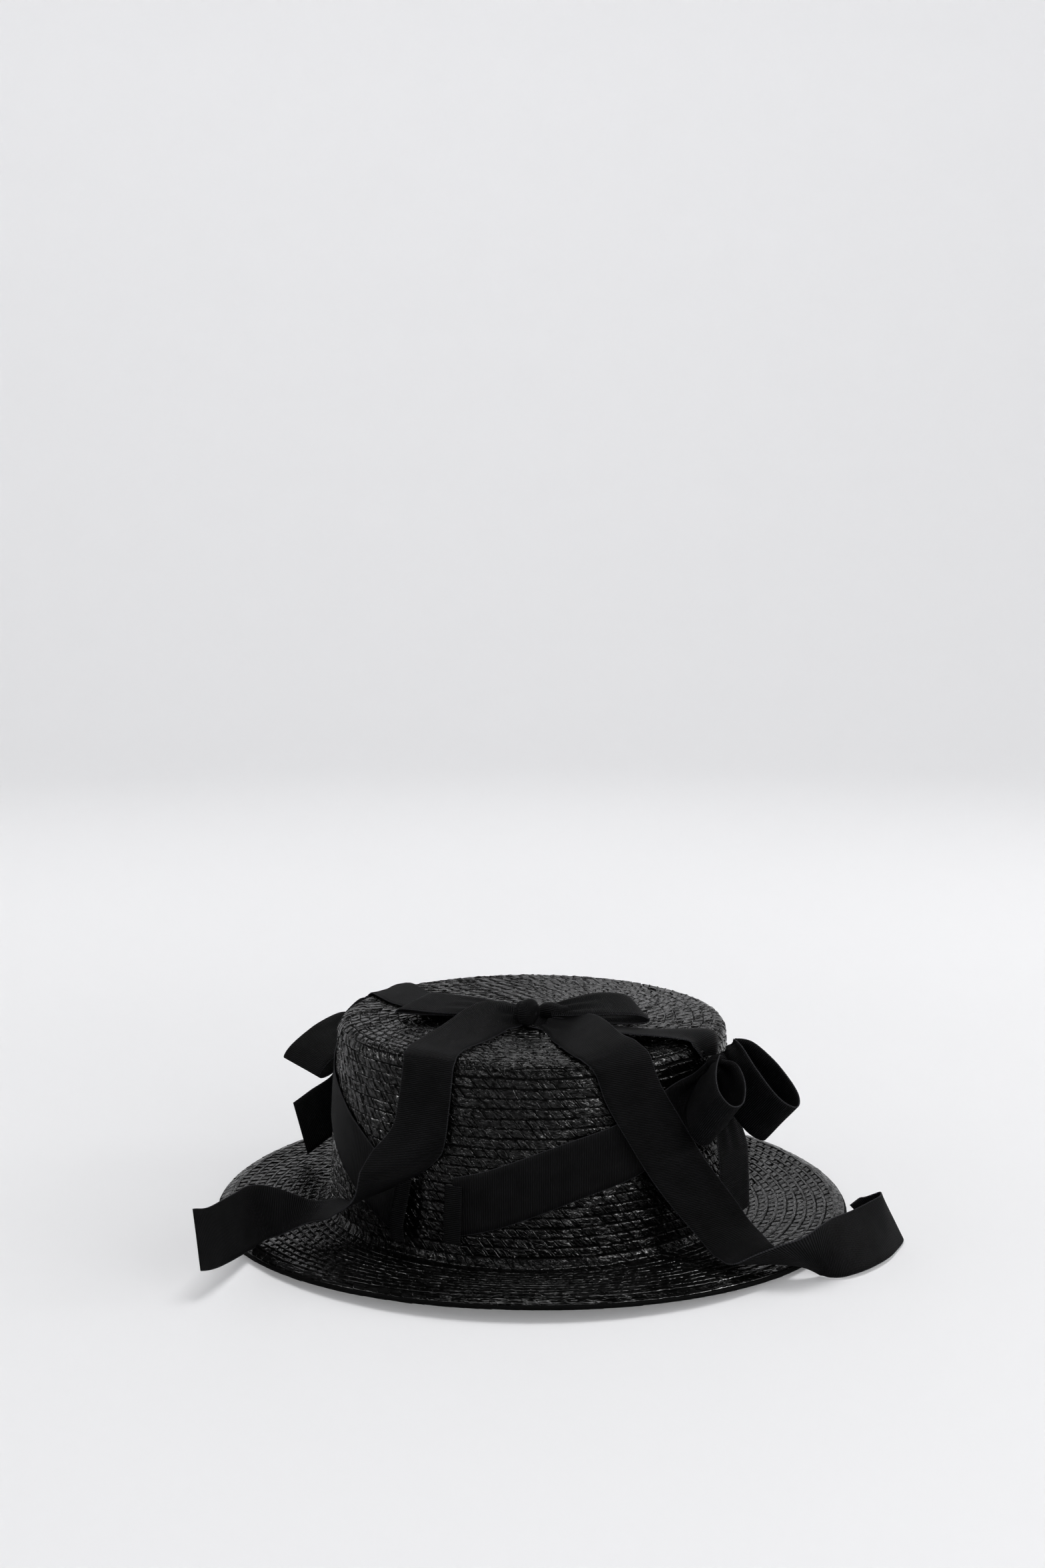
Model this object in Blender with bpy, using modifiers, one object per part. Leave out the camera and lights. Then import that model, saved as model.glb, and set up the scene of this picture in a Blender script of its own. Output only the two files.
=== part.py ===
"""A woman's straw boater with grosgrain ribbon, built as separate solids.

Metres, +Z up. The hat lies on its brim on z = 0 and its front faces -Y. Every
azimuth is counted in degrees from the front, towards the wearer's left, +X.
The origin is under the middle of the whole hat, tails included.
"""
import math
from collections import namedtuple

import bmesh
import bpy
from mathutils import Matrix, Vector

# Plaited straw
STRAW_WALL = 0.0016
BRIM_RADIUS = 0.1445
BRIM_INNER_TOP = 0.0078
BRIM_EDGE_TOP = 0.0026
BRIM_FOOT_WIDTH = 0.0040
BRIM_LIFT = 0.0045
BRIM_LIFT_AZIMUTH = 28.0
BRIM_LIFT_SPREAD = 80.0
FLARE_REACH = 0.0105
FOOT_HEIGHT = 0.0140
BASE_RADIUS = 0.0928
TIP_RADIUS = 0.0888
CROWN_HEIGHT = 0.0880
SHOULDER_RADIUS = 0.0060
TIP_RISE = 0.0012
ROUND_SIDES = 72

# Grosgrain ribbon
RIBBON_WIDTH = 0.0240
RIBBON_WALL = 0.0010
KEEPER_WIDTH = 0.0072

LEAST_SLANT = 0.85

# Bows
TOP_KNOT_SIZE = Vector((0.0145, 0.0135, 0.0115))
SIDE_KNOT_SIZE = Vector((0.0130, 0.0100, 0.0120))
RIGHT_BOW_AZIMUTH = 90.0
LEFT_BOW_AZIMUTH = -95.0

# Room left between two pieces that touch
GAP = 0.0003

STRAW_COLOUR = (0.012, 0.012, 0.013, 1.0)
RIBBON_COLOUR = (0.009, 0.009, 0.010, 1.0)

# A row of a ribbon's run: where its middle lies and how its width points.
# On the tip, a and b count right and front in tip radii; on the shoulder, an
# azimuth and the degrees turned over the edge; on the wall, an azimuth and a
# share of the crown's height; on the brim and on the floor, an azimuth and
# the reach from the crown's foot, 1 at the brim's edge. layer counts the
# ribbons below, lift is in ribbon widths, across points from the ribbon's
# first edge to its second, and width is a share of the ribbon's width.
Row = namedtuple("Row", "seat a b layer lift across width")

AROUND = (1, 0, 0)
OUT = (0, 1, 0)
UP = (0, 0, 1)

STRAP = (
    Row("wall", -95, 0.915, 0, 0.00, AROUND, 0.42),
    Row("edge", -95, 60, 0, 0.00, AROUND, 0.70),
    Row("edge", -95, 10, 0, 0.00, AROUND, 0.95),
    Row("tip", -0.68, 0.08, 0, 0.00, OUT, 1.00),
    Row("tip", -0.35, 0.17, 0, 0.00, OUT, 1.00),
    Row("tip", -0.05, 0.22, 0, 0.00, OUT, 0.80),
    Row("tip", 0.13, 0.225, 0, 0.00, OUT, 0.62),
    Row("tip", 0.30, 0.22, 0, 0.00, OUT, 0.80),
    Row("tip", 0.53, 0.205, 0, 0.06, (0, 1, 0.12), 1.00),
    Row("tip", 0.735, 0.16, 0, 0.08, (0, 1, 0.14), 1.00),
    Row("edge", 89, 8, 0, 0.04, (-1, 0, 0.05), 0.95),
    Row("edge", 89, 60, 0, 0.02, (-1, 0, 0), 0.70),
    Row("wall", 90, 0.915, 0, 0.00, (-1, 0, 0), 0.42),
)

BAND_RIGHT = (
    Row("wall", 9.8, 0.300, 0, 0.02, (0, -0.02, 1), 1.00),
    Row("wall", 18, 0.340, 0, 0.01, UP, 1.00),
    Row("wall", 26, 0.390, 0, 0.00, UP, 1.00),
    Row("wall", 41.5, 0.490, 0, 0.00, UP, 1.00),
    Row("wall", 58, 0.575, 0, 0.00, UP, 1.00),
    Row("wall", 73, 0.700, 0, 0.00, UP, 0.92),
    Row("wall", 82, 0.770, 0, 0.00, UP, 0.60),
    Row("wall", 91, 0.842, 0, 0.00, UP, 0.35),
)

BAND_LEFT = (
    Row("wall", -3.6, 0.262, 0, 0.08, (0, -0.14, 1), 0.97),
    Row("wall", -10, 0.305, 0, 0.05, (0, -0.08, 1), 1.00),
    Row("wall", -17, 0.350, 0, 0.00, UP, 1.00),
    Row("wall", -29, 0.455, 0, 0.00, UP, 1.00),
    Row("wall", -42, 0.560, 0, 0.00, UP, 1.00),
    Row("wall", -57, 0.645, 0, 0.01, UP, 1.00),
    Row("wall", -71, 0.718, 0, 0.01, UP, 0.95),
    Row("wall", -84, 0.780, 0, 0.01, UP, 0.65),
    Row("wall", -96, 0.842, 0, 0.00, UP, 0.35),
)

# Widths in keeper widths
KEEPER_RIGHT = (
    Row("wall", 10.5, 0.410, 1, 0.06, AROUND, 1.00),
    Row("wall", 10.5, 0.300, 1, 0.12, AROUND, 1.00),
    Row("wall", 10.5, 0.170, 1, 0.12, AROUND, 1.00),
    Row("brim", 10.5, 0.060, 1, 0.02, AROUND, 1.00),
)

KEEPER_LEFT = (
    Row("wall", -3.9, 0.405, 1, 0.08, AROUND, 1.00),
    Row("wall", -3.9, 0.300, 1, 0.28, AROUND, 1.00),
    Row("wall", -3.9, 0.200, 1, 0.48, AROUND, 1.00),
    Row("brim", -3.9, 0.135, 1, 0.02, AROUND, 1.00),
)

TOP_LEFT_TAIL = (
    Row("tip", 0.040, 0.268, 1, 0.20, (0.15, 1, 0), 0.42),
    Row("tip", -0.035, 0.320, 1, 0.26, (0.55, 0.83, -0.20), 0.85),
    Row("tip", -0.055, 0.450, 0, 0.17, (0.90, 0.40, -0.15), 1.00),
    Row("tip", -0.040, 0.62, 0, 0.01, AROUND, 1.00),
    Row("tip", -0.030, 0.80, 0, 0.00, AROUND, 1.00),
    Row("edge", 0.5, 12, 0, 0.00, AROUND, 1.00),
    Row("edge", 1.5, 70, 0, 0.00, AROUND, 1.00),
    Row("wall", 1.0, 0.78, 0, 0.04, (1, -0.05, 0), 1.00),
    Row("wall", 0.2, 0.63, 0, 0.15, (1, -0.20, 0), 1.00),
    Row("wall", -3.4, 0.47, 0, 0.48, (0.88, -0.5, 0), 1.00),
    Row("wall", -9.5, 0.33, 1, 0.66, (0.30, -0.95, 0), 1.00),
    Row("wall", -17.0, 0.235, 1, 0.58, (-0.2, -1, 0.05), 1.00),
    Row("brim", -25.0, 0.235, 0, 0.25, (-0.45, -0.85, 0.20), 1.00),
    Row("brim", -30.5, 0.39, 0, 0.17, (-0.7, -0.6, 0.25), 1.00),
    Row("brim", -31.5, 0.74, 0, 0.40, (-0.6, -0.1, 0.70), 1.00),
    Row("brim", -27.8, 1.00, 0, 0.48, (-0.43, 0.1, 0.9), 1.00),
    Row("floor", -20.0, 1.45, 0, 0.82, (-0.27, 0, 0.96), 1.00),
    Row("floor", -17.5, 1.69, 0, 0.98, (-0.2, 0, 0.98), 1.00),
)

TOP_RIGHT_TAIL = (
    Row("tip", 0.232, 0.262, 1, 0.08, (0.68, -0.73, 0.2), 0.45),
    Row("tip", 0.360, 0.330, 1, 0.12, (0.68, -0.73, 0.3), 0.92),
    Row("tip", 0.520, 0.440, 0, 0.15, (0.68, -0.73, 0.3), 1.00),
    Row("tip", 0.670, 0.545, 0, 0.13, (0.68, -0.73, 0.25), 1.00),
    Row("edge", 53, 16, 0, 0.12, (1, 0.1, 0.2), 1.00),
    Row("edge", 55, 60, 0, 0.12, (1, 0.15, 0.1), 1.00),
    Row("wall", 58, 0.84, 0, 0.12, (1, 0.18, 0.05), 1.00),
    Row("wall", 63, 0.66, 1, 0.16, (1, 0.25, 0), 1.00),
    Row("wall", 69, 0.45, 1, 0.30, (1, 0.30, 0), 1.00),
    Row("brim", 75, 0.34, 0, 0.48, (1, 0.35, 0.1), 1.00),
    Row("brim", 75.4, 0.54, 0, 0.18, (0.92, 0.32, 0.21), 1.00),
    Row("brim", 73.2, 0.75, 0, 0.17, (0.90, 0.41, 0.10), 1.00),
    Row("brim", 73.5, 0.92, 0, 0.11, (0.93, 0.36, -0.12), 1.00),
    Row("brim", 75.7, 1.02, 0, 0.17, (0.89, 0.28, -0.36), 1.00),
    Row("floor", 78.8, 1.16, 0, 0.40, (0.70, 0.03, -0.72), 1.00),
    Row("floor", 81.1, 1.24, 0, 0.48, (0.31, 0.05, -0.95), 1.00),
    Row("floor", 84.0, 1.295, 0, 0.505, (0.01, 0.29, -0.96), 1.00),
    Row("floor", 88.2, 1.345, 0, 0.495, (-0.07, 0.38, -0.92), 1.00),
    Row("floor", 93.0, 1.395, 0, 0.495, (-0.06, 0.38, -0.92), 1.00),
    Row("floor", 97.2, 1.43, 0, 0.495, (0.01, 0.29, -0.96), 1.00),
    Row("floor", 101.2, 1.41, 0, 0.47, (0.24, 0.40, -0.88), 1.00),
    Row("floor", 102.0, 1.30, 0, 0.42, (0.54, 0.41, -0.74), 1.00),
    Row("floor", 100.2, 1.185, 0, 0.38, (0.72, 0.26, -0.64), 1.00),
)

# Each loop runs out from its knot, round its end and back
TOP_LEFT_LOOP = (
    Row("tip", 0.046, 0.180, 0, 0.15, (0, 1, -0.05), 0.38),
    Row("tip", -0.115, 0.240, 0, 0.16, (0, 1, -0.05), 0.80),
    Row("tip", -0.322, 0.290, 0, 0.21, (0, 1, -0.08), 1.00),
    Row("tip", -0.580, 0.300, 0, 0.21, (0, 1, -0.06), 1.00),
    Row("tip", -0.630, 0.302, 0, 0.14, (0, 1, -0.08), 1.00),
    Row("tip", -0.580, 0.300, 0, 0.07, (0, 1, -0.12), 1.00),
    Row("tip", -0.322, 0.290, 0, 0.07, (0, 1, -0.12), 0.95),
    Row("tip", -0.115, 0.240, 0, 0.08, (0, 1, -0.06), 0.70),
    Row("tip", 0.046, 0.180, 0, 0.08, (0, 1, -0.05), 0.38),
)

TOP_RIGHT_LOOP = (
    Row("tip", 0.205, 0.160, 0, 0.21, (0.60, 0.80, -0.10), 0.42),
    Row("tip", 0.310, 0.080, 0, 0.29, (0.62, 0.78, -0.10), 0.80),
    Row("tip", 0.425, -0.017, 0, 0.33, (0.66, 0.75, -0.10), 1.00),
    Row("tip", 0.560, -0.110, 0, 0.29, (0.70, 0.70, -0.10), 1.00),
    Row("tip", 0.605, -0.125, 0, 0.18, (0.73, 0.69, -0.05), 1.00),
    Row("tip", 0.570, -0.070, 0, 0.08, (0.71, 0.71, -0.04), 1.00),
    Row("tip", 0.440, 0.020, 0, 0.08, (0.66, 0.75, -0.03), 0.95),
    Row("tip", 0.310, 0.095, 0, 0.11, (0.62, 0.78, 0.00), 0.70),
    Row("tip", 0.205, 0.160, 0, 0.13, (0.60, 0.80, 0.00), 0.42),
)

RIGHT_FRONT_LOOP = (
    Row("wall", 85.6, 0.875, 0, 0.36, (0.04, 0.61, 0.79), 0.38),
    Row("wall", 82.6, 0.840, 0, 0.46, (0.08, 0.61, 0.79), 0.75),
    Row("wall", 80.8, 0.740, 0, 0.58, (0.10, 0.60, 0.79), 1.00),
    Row("wall", 80.6, 0.630, 0, 0.72, (0.12, 0.60, 0.79), 1.00),
    Row("wall", 82.0, 0.585, 0, 0.82, (0.12, 0.60, 0.79), 1.00),
    Row("wall", 84.2, 0.610, 0, 0.82, (0.09, 0.60, 0.79), 1.00),
    Row("wall", 85.6, 0.700, 0, 0.72, (0.06, 0.61, 0.79), 0.95),
    Row("wall", 85.4, 0.790, 0, 0.56, (0.04, 0.61, 0.79), 0.70),
    Row("wall", 85.7, 0.850, 0, 0.42, (0.03, 0.61, 0.79), 0.38),
)

RIGHT_BACK_LOOP = (
    Row("wall", 94.4, 0.880, 0, 0.32, (-0.04, 0.69, 0.72), 0.38),
    Row("wall", 96.0, 0.935, 0, 0.34, (-0.05, 0.80, 0.60), 0.72),
    Row("wall", 97.6, 0.820, 0, 0.66, (-0.09, 0.72, 0.69), 1.00),
    Row("wall", 97.4, 0.600, 0, 1.08, (-0.09, 0.69, 0.72), 1.00),
    Row("wall", 96.0, 0.555, 0, 1.20, (-0.07, 0.69, 0.72), 1.00),
    Row("wall", 93.8, 0.575, 0, 1.13, (-0.05, 0.69, 0.72), 1.00),
    Row("wall", 92.6, 0.670, 0, 0.90, (-0.02, 0.69, 0.72), 0.95),
    Row("wall", 93.2, 0.775, 0, 0.62, (-0.01, 0.69, 0.72), 0.70),
    Row("wall", 94.3, 0.850, 0, 0.40, (-0.02, 0.69, 0.72), 0.38),
)

RIGHT_TAIL = (
    Row("wall", 89.8, 0.800, 0, 0.28, (0.96, 0.10, 0.10), 0.35),
    Row("wall", 89.2, 0.700, 0, 0.28, (0.99, 0.00, 0.10), 0.60),
    Row("wall", 89.8, 0.580, 0, 0.33, (0.99, 0.05, 0.05), 0.85),
    Row("wall", 91.0, 0.440, 0, 0.38, (1.00, 0.10, 0.00), 1.00),
    Row("wall", 91.4, 0.280, 0, 0.37, (1.00, 0.10, 0.00), 1.00),
    Row("wall", 92.0, 0.120, 0, 0.37, (1.00, 0.03, 0.00), 1.00),
)

LEFT_FRONT_LOOP = (
    Row("wall", -90.8, 0.855, 0, 0.36, (0.32, 0.83, 0.45), 0.38),
    Row("wall", -87.0, 0.805, 0, 0.54, (0.26, 0.85, 0.45), 0.75),
    Row("wall", -84.5, 0.685, 0, 0.85, (0.22, 0.86, 0.45), 1.00),
    Row("wall", -82.9, 0.595, 0, 1.17, (0.20, 0.87, 0.45), 1.00),
    Row("wall", -83.5, 0.555, 0, 1.32, (0.21, 0.87, 0.45), 1.00),
    Row("wall", -85.6, 0.580, 0, 1.25, (0.24, 0.86, 0.45), 1.00),
    Row("wall", -88.6, 0.660, 0, 0.99, (0.28, 0.84, 0.45), 0.95),
    Row("wall", -90.4, 0.755, 0, 0.66, (0.31, 0.83, 0.45), 0.70),
    Row("wall", -90.9, 0.835, 0, 0.42, (0.33, 0.83, 0.45), 0.38),
)

LEFT_BACK_LOOP = (
    Row("wall", -99.3, 0.860, 0, 0.34, (0.04, 0.69, 0.72), 0.38),
    Row("wall", -103.1, 0.850, 0, 0.50, (0.10, 0.68, 0.72), 0.75),
    Row("wall", -102.7, 0.685, 0, 0.85, (0.09, 0.69, 0.72), 1.00),
    Row("wall", -102.9, 0.580, 0, 1.11, (0.10, 0.69, 0.72), 1.00),
    Row("wall", -101.7, 0.540, 0, 1.22, (0.08, 0.69, 0.72), 1.00),
    Row("wall", -99.6, 0.565, 0, 1.14, (0.06, 0.69, 0.72), 1.00),
    Row("wall", -98.2, 0.655, 0, 0.89, (0.03, 0.69, 0.72), 0.95),
    Row("wall", -98.3, 0.755, 0, 0.62, (0.02, 0.69, 0.72), 0.70),
    Row("wall", -99.2, 0.840, 0, 0.40, (0.02, 0.69, 0.72), 0.38),
)

LEFT_TAIL = (
    Row("wall", -96.0, 0.795, 0, 0.20, (0.96, 0.10, 0.10), 0.35),
    Row("wall", -95.0, 0.700, 0, 0.16, (0.96, 0.10, 0.20), 0.60),
    Row("wall", -93.0, 0.580, 0, 0.22, (0.88, 0.20, 0.40), 0.85),
    Row("wall", -89.5, 0.425, 0, 0.46, (0.60, 0.40, 0.70), 1.00),
    Row("wall", -85.5, 0.310, 0, 0.86, (0.30, 0.42, 0.85), 1.00),
    Row("wall", -82.4, 0.215, 0, 1.23, (0.05, 0.32, 0.95), 1.00),
)


WALL_SLOPE = (TIP_RADIUS - BASE_RADIUS) / (CROWN_HEIGHT - SHOULDER_RADIUS - FOOT_HEIGHT)


def wall_radius(height):
    """Radius of the crown's outside at a height."""
    return BASE_RADIUS + WALL_SLOPE * (height - FOOT_HEIGHT)


def tip_height(radius):
    """Height of the tip's slight dome."""
    flat_radius = TIP_RADIUS - SHOULDER_RADIUS
    share = min(radius / flat_radius, 1.0)
    return CROWN_HEIGHT + TIP_RISE * (1.0 - share ** 2)


def brim_lift(radius, azimuth):
    """How far the brim's front rises off the floor, most at its edge."""
    away = (azimuth - BRIM_LIFT_AZIMUTH + 180.0) % 360.0 - 180.0
    if abs(away) >= BRIM_LIFT_SPREAD:
        return 0.0
    side = math.cos(math.radians(90.0 * away / BRIM_LIFT_SPREAD)) ** 2
    reach = max(0.0, (radius - BASE_RADIUS) / (BRIM_RADIUS - BASE_RADIUS))
    return BRIM_LIFT * side * min(reach, 1.0) ** 2


def brim_height(radius, azimuth):
    """Height of the brim's top face."""
    inner = BASE_RADIUS + FLARE_REACH
    if radius < inner:
        turn = math.acos(max(0.0, min(1.0, (inner - radius) / FLARE_REACH)))
        height = BRIM_INNER_TOP + (FOOT_HEIGHT - BRIM_INNER_TOP) * (1.0 - math.sin(turn))
    else:
        share = (radius - inner) / (BRIM_RADIUS - inner)
        height = BRIM_INNER_TOP + (BRIM_EDGE_TOP - BRIM_INNER_TOP) * min(share, 1.0)
    return height + brim_lift(radius, azimuth)


def round_axes(azimuth, slope=0.0):
    """Unit vectors around the hat, off its surface and up it, at an azimuth."""
    turn = math.radians(azimuth)
    around = Vector((math.cos(turn), math.sin(turn), 0.0))
    out = Vector((math.sin(turn), -math.cos(turn), -slope)).normalized()
    return around, out, out.cross(around)


def seat_point(seat, a, b, rise):
    """A point that stands off the straw by rise, and the seat's three axes."""
    if seat == "tip":
        point = Vector((a * TIP_RADIUS, -b * TIP_RADIUS, 0.0))
        point.z = tip_height(point.length) + rise
        return point, (Vector((1, 0, 0)), Vector((0, -1, 0)), Vector((0, 0, 1)))
    axes = round_axes(a)
    out = axes[1]
    if seat == "wall":
        axes = round_axes(a, WALL_SLOPE)
    if seat == "edge":
        turn = math.radians(b)
        reach = SHOULDER_RADIUS + rise
        point = out * (TIP_RADIUS - SHOULDER_RADIUS + reach * math.sin(turn))
        point.z = CROWN_HEIGHT - SHOULDER_RADIUS + reach * math.cos(turn)
    elif seat == "wall":
        height = b * CROWN_HEIGHT
        point = out * (wall_radius(height) + rise)
        point.z = height
    else:
        radius = BASE_RADIUS + b * (BRIM_RADIUS - BASE_RADIUS)
        point = out * radius
        floor = brim_height(radius, a) if seat == "brim" else 0.0
        point.z = floor + rise
    return point, axes


def spline(values, steps):
    """Points of a smooth curve through values, steps to each span."""
    points = []
    last = len(values) - 1
    for index in range(last):
        before = values[max(index - 1, 0)]
        start = values[index]
        end = values[index + 1]
        after = values[min(index + 2, last)]
        for step in range(steps):
            t = step / steps
            points.append(0.5 * (2 * start + (end - before) * t
                                 + (2 * before - 5 * start + 4 * end - after) * t ** 2
                                 + (3 * start - before - 3 * end + after) * t ** 3))
    points.append(values[last])
    return points


def add_object(name, mesh, colour, roughness):
    """An object of the hat with a material of its own."""
    material = bpy.data.materials.new(name)
    material.use_nodes = True
    shader = material.node_tree.nodes["Principled BSDF"]
    shader.inputs["Base Color"].default_value = colour
    shader.inputs["Roughness"].default_value = roughness
    mesh.materials.append(material)
    item = bpy.data.objects.new(name, mesh)
    item.parent = place
    hat.objects.link(item)
    return item


def ribbon(name, rows, width=RIBBON_WIDTH, steps=3):
    """A ribbon that follows a table of rows: a grid with a Solidify for its wall."""
    centres = []
    acrosses = []
    shares = []
    for row in rows:
        rise = GAP + RIBBON_WALL / 2 + row.layer * (RIBBON_WALL + GAP) + row.lift * width
        point, axes = seat_point(row.seat, row.a, row.b, rise)
        centres.append(point)
        across = Vector((0.0, 0.0, 0.0))
        for axis, amount in zip(axes, row.across):
            across += axis * amount
        acrosses.append(across.normalized())
        shares.append(row.width)
    centres = spline(centres, steps)
    acrosses = spline(acrosses, steps)
    shares = spline(shares, steps)
    last = len(centres) - 1

    mesh = bpy.data.meshes.new(name)
    shape = bmesh.new()
    bmesh.ops.create_grid(shape, x_segments=last, y_segments=2, size=1.0)
    for vertex in shape.verts:
        index = round((vertex.co.x + 1.0) / 2.0 * last)
        run = centres[min(index + 1, last)] - centres[max(index - 1, 0)]
        across = acrosses[index].normalized()
        # A slanting row is longer, so that the ribbon keeps its width
        slant = max(across.cross(run.normalized()).length, LEAST_SLANT)
        vertex.co = centres[index] + across * (vertex.co.y / 2.0 * shares[index] * width / slant)
    shape.to_mesh(mesh)
    shape.free()
    mesh.shade_smooth()
    item = add_object(name, mesh, RIBBON_COLOUR, 0.8)
    solid = item.modifiers.new("Wall", "SOLIDIFY")
    solid.thickness = RIBBON_WALL
    solid.offset = 0.0


def knot(name, seat, a, b, size):
    """A bow's knot: one soft lump on the ribbon that passes under it."""
    point, axes = seat_point(seat, a, b, GAP * 2 + RIBBON_WALL + size.z / 2)
    side = axes[0]
    normal = axes[2] if seat == "tip" else axes[1]
    depth = normal.cross(side)
    frame = Matrix((side * size.x, depth * size.y, normal * size.z)).transposed()
    mesh = bpy.data.meshes.new(name)
    shape = bmesh.new()
    bmesh.ops.create_uvsphere(shape, u_segments=14, v_segments=8, radius=0.5)
    for vertex in shape.verts:
        vertex.co = frame @ vertex.co + point
    shape.to_mesh(mesh)
    shape.free()
    mesh.shade_smooth()
    add_object(name, mesh, RIBBON_COLOUR, 0.8)


def turned(name, outline, closed):
    """A solid turned about the hat's axis from an outline in (radius, height)."""
    mesh = bpy.data.meshes.new(name)
    shape = bmesh.new()
    points = [shape.verts.new((radius, 0.0, height)) for radius, height in outline]
    for first, second in zip(points, points[1:]):
        shape.edges.new((first, second))
    if closed:
        shape.edges.new((points[-1], points[0]))
    shape.to_mesh(mesh)
    shape.free()
    item = add_object(name, mesh, STRAW_COLOUR, 0.3)
    screw = item.modifiers.new("Turn", "SCREW")
    screw.steps = ROUND_SIDES
    screw.render_steps = ROUND_SIDES
    screw.use_merge_vertices = True
    screw.merge_threshold = 0.00001
    screw.use_smooth_shade = True
    return item


def crown():
    """Tip and side in one hollow shell, open below."""
    flat_radius = TIP_RADIUS - SHOULDER_RADIUS
    wall_top = CROWN_HEIGHT - SHOULDER_RADIUS
    inner_shoulder = SHOULDER_RADIUS - STRAW_WALL
    outer = [(flat_radius * share, tip_height(flat_radius * share)) for share in (0.0, 0.4, 0.75)]
    for turn in (0, 30, 60, 90):
        angle = math.radians(turn)
        outer.append((flat_radius + SHOULDER_RADIUS * math.sin(angle),
                      wall_top + SHOULDER_RADIUS * math.cos(angle)))
    outer.append((BASE_RADIUS, FOOT_HEIGHT))
    inner = [(BASE_RADIUS - STRAW_WALL, FOOT_HEIGHT)]
    for turn in (90, 45, 0):
        angle = math.radians(turn)
        inner.append((flat_radius + inner_shoulder * math.sin(angle),
                      wall_top + inner_shoulder * math.cos(angle)))
    inner.append((0.0, tip_height(0.0) - STRAW_WALL))
    turned("crown", outer + inner, False)


def brim():
    """Flared foot and brim in one ring, whose front edge rises a little."""
    top = FOOT_HEIGHT - GAP
    flare_end = BASE_RADIUS + FLARE_REACH
    drop = top - BRIM_INNER_TOP
    edge = BRIM_EDGE_TOP / 2
    outline = []
    for turn in (0, 25, 55, 90):
        angle = math.radians(turn)
        outline.append((flare_end - FLARE_REACH * math.cos(angle),
                        BRIM_INNER_TOP + drop * (1.0 - math.sin(angle))))
    outline.append((BRIM_RADIUS - edge, BRIM_EDGE_TOP))
    outline.append((BRIM_RADIUS, edge))
    outline.append((BRIM_RADIUS - edge, 0.0))
    outline.append((BRIM_RADIUS - edge - BRIM_FOOT_WIDTH, 0.0))
    for turn in (90, 55, 25):
        angle = math.radians(turn)
        reach = FLARE_REACH + STRAW_WALL
        outline.append((flare_end - reach * math.cos(angle),
                        BRIM_INNER_TOP - STRAW_WALL + drop * (1.0 - math.sin(angle))))
    outline.append((BASE_RADIUS - STRAW_WALL, top))
    item = turned("brim", outline, True)

    ring = bpy.data.meshes.new_from_object(item.evaluated_get(bpy.context.evaluated_depsgraph_get()))
    for vertex in ring.vertices:
        radius = math.hypot(vertex.co.x, vertex.co.y)
        azimuth = math.degrees(math.atan2(vertex.co.x, -vertex.co.y))
        vertex.co.z += brim_lift(radius, azimuth)
    item.modifiers.clear()
    item.data = ring


def centre_on_origin():
    """Put the middle of the whole hat, seen from above, on the origin."""
    graph = bpy.context.evaluated_depsgraph_get()
    corners = []
    for item in hat.objects:
        if item.type == "MESH":
            corners += [Vector(corner) for corner in item.evaluated_get(graph).bound_box]
    for axis in (0, 1):
        places = [corner[axis] for corner in corners]
        place.location[axis] = -(min(places) + max(places)) / 2


for old in list(bpy.data.objects):
    bpy.data.objects.remove(old, do_unlink=True)
hat = bpy.data.collections.new("boater_hat")
bpy.context.scene.collection.children.link(hat)
place = bpy.data.objects.new("place", None)
hat.objects.link(place)

crown()
brim()
ribbon("crown_strap", STRAP)
ribbon("band_right", BAND_RIGHT)
ribbon("band_left", BAND_LEFT)
ribbon("keeper_right", KEEPER_RIGHT, KEEPER_WIDTH)
ribbon("keeper_left", KEEPER_LEFT, KEEPER_WIDTH)
knot("top_bow_knot", "tip", 0.13, 0.22, TOP_KNOT_SIZE)
ribbon("top_bow_left_loop", TOP_LEFT_LOOP)
ribbon("top_bow_right_loop", TOP_RIGHT_LOOP)
ribbon("top_bow_left_tail", TOP_LEFT_TAIL)
ribbon("top_bow_right_tail", TOP_RIGHT_TAIL)
knot("right_bow_knot", "wall", RIGHT_BOW_AZIMUTH, 0.858, SIDE_KNOT_SIZE)
ribbon("right_bow_front_loop", RIGHT_FRONT_LOOP)
ribbon("right_bow_back_loop", RIGHT_BACK_LOOP)
ribbon("right_bow_tail", RIGHT_TAIL)
knot("left_bow_knot", "wall", LEFT_BOW_AZIMUTH, 0.858, SIDE_KNOT_SIZE)
ribbon("left_bow_front_loop", LEFT_FRONT_LOOP)
ribbon("left_bow_back_loop", LEFT_BACK_LOOP)
ribbon("left_bow_tail", LEFT_TAIL)
centre_on_origin()
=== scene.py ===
"""The looks of a black straw boater with grosgrain bands and bows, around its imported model.

Metres, +Z up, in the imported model's frame. Azimuths are counted in degrees from
the hat's front, -Y, towards the wearer's left, +X.
"""
import math
from collections import namedtuple

import bmesh
import bpy
import numpy as np
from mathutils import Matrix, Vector, noise


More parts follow.
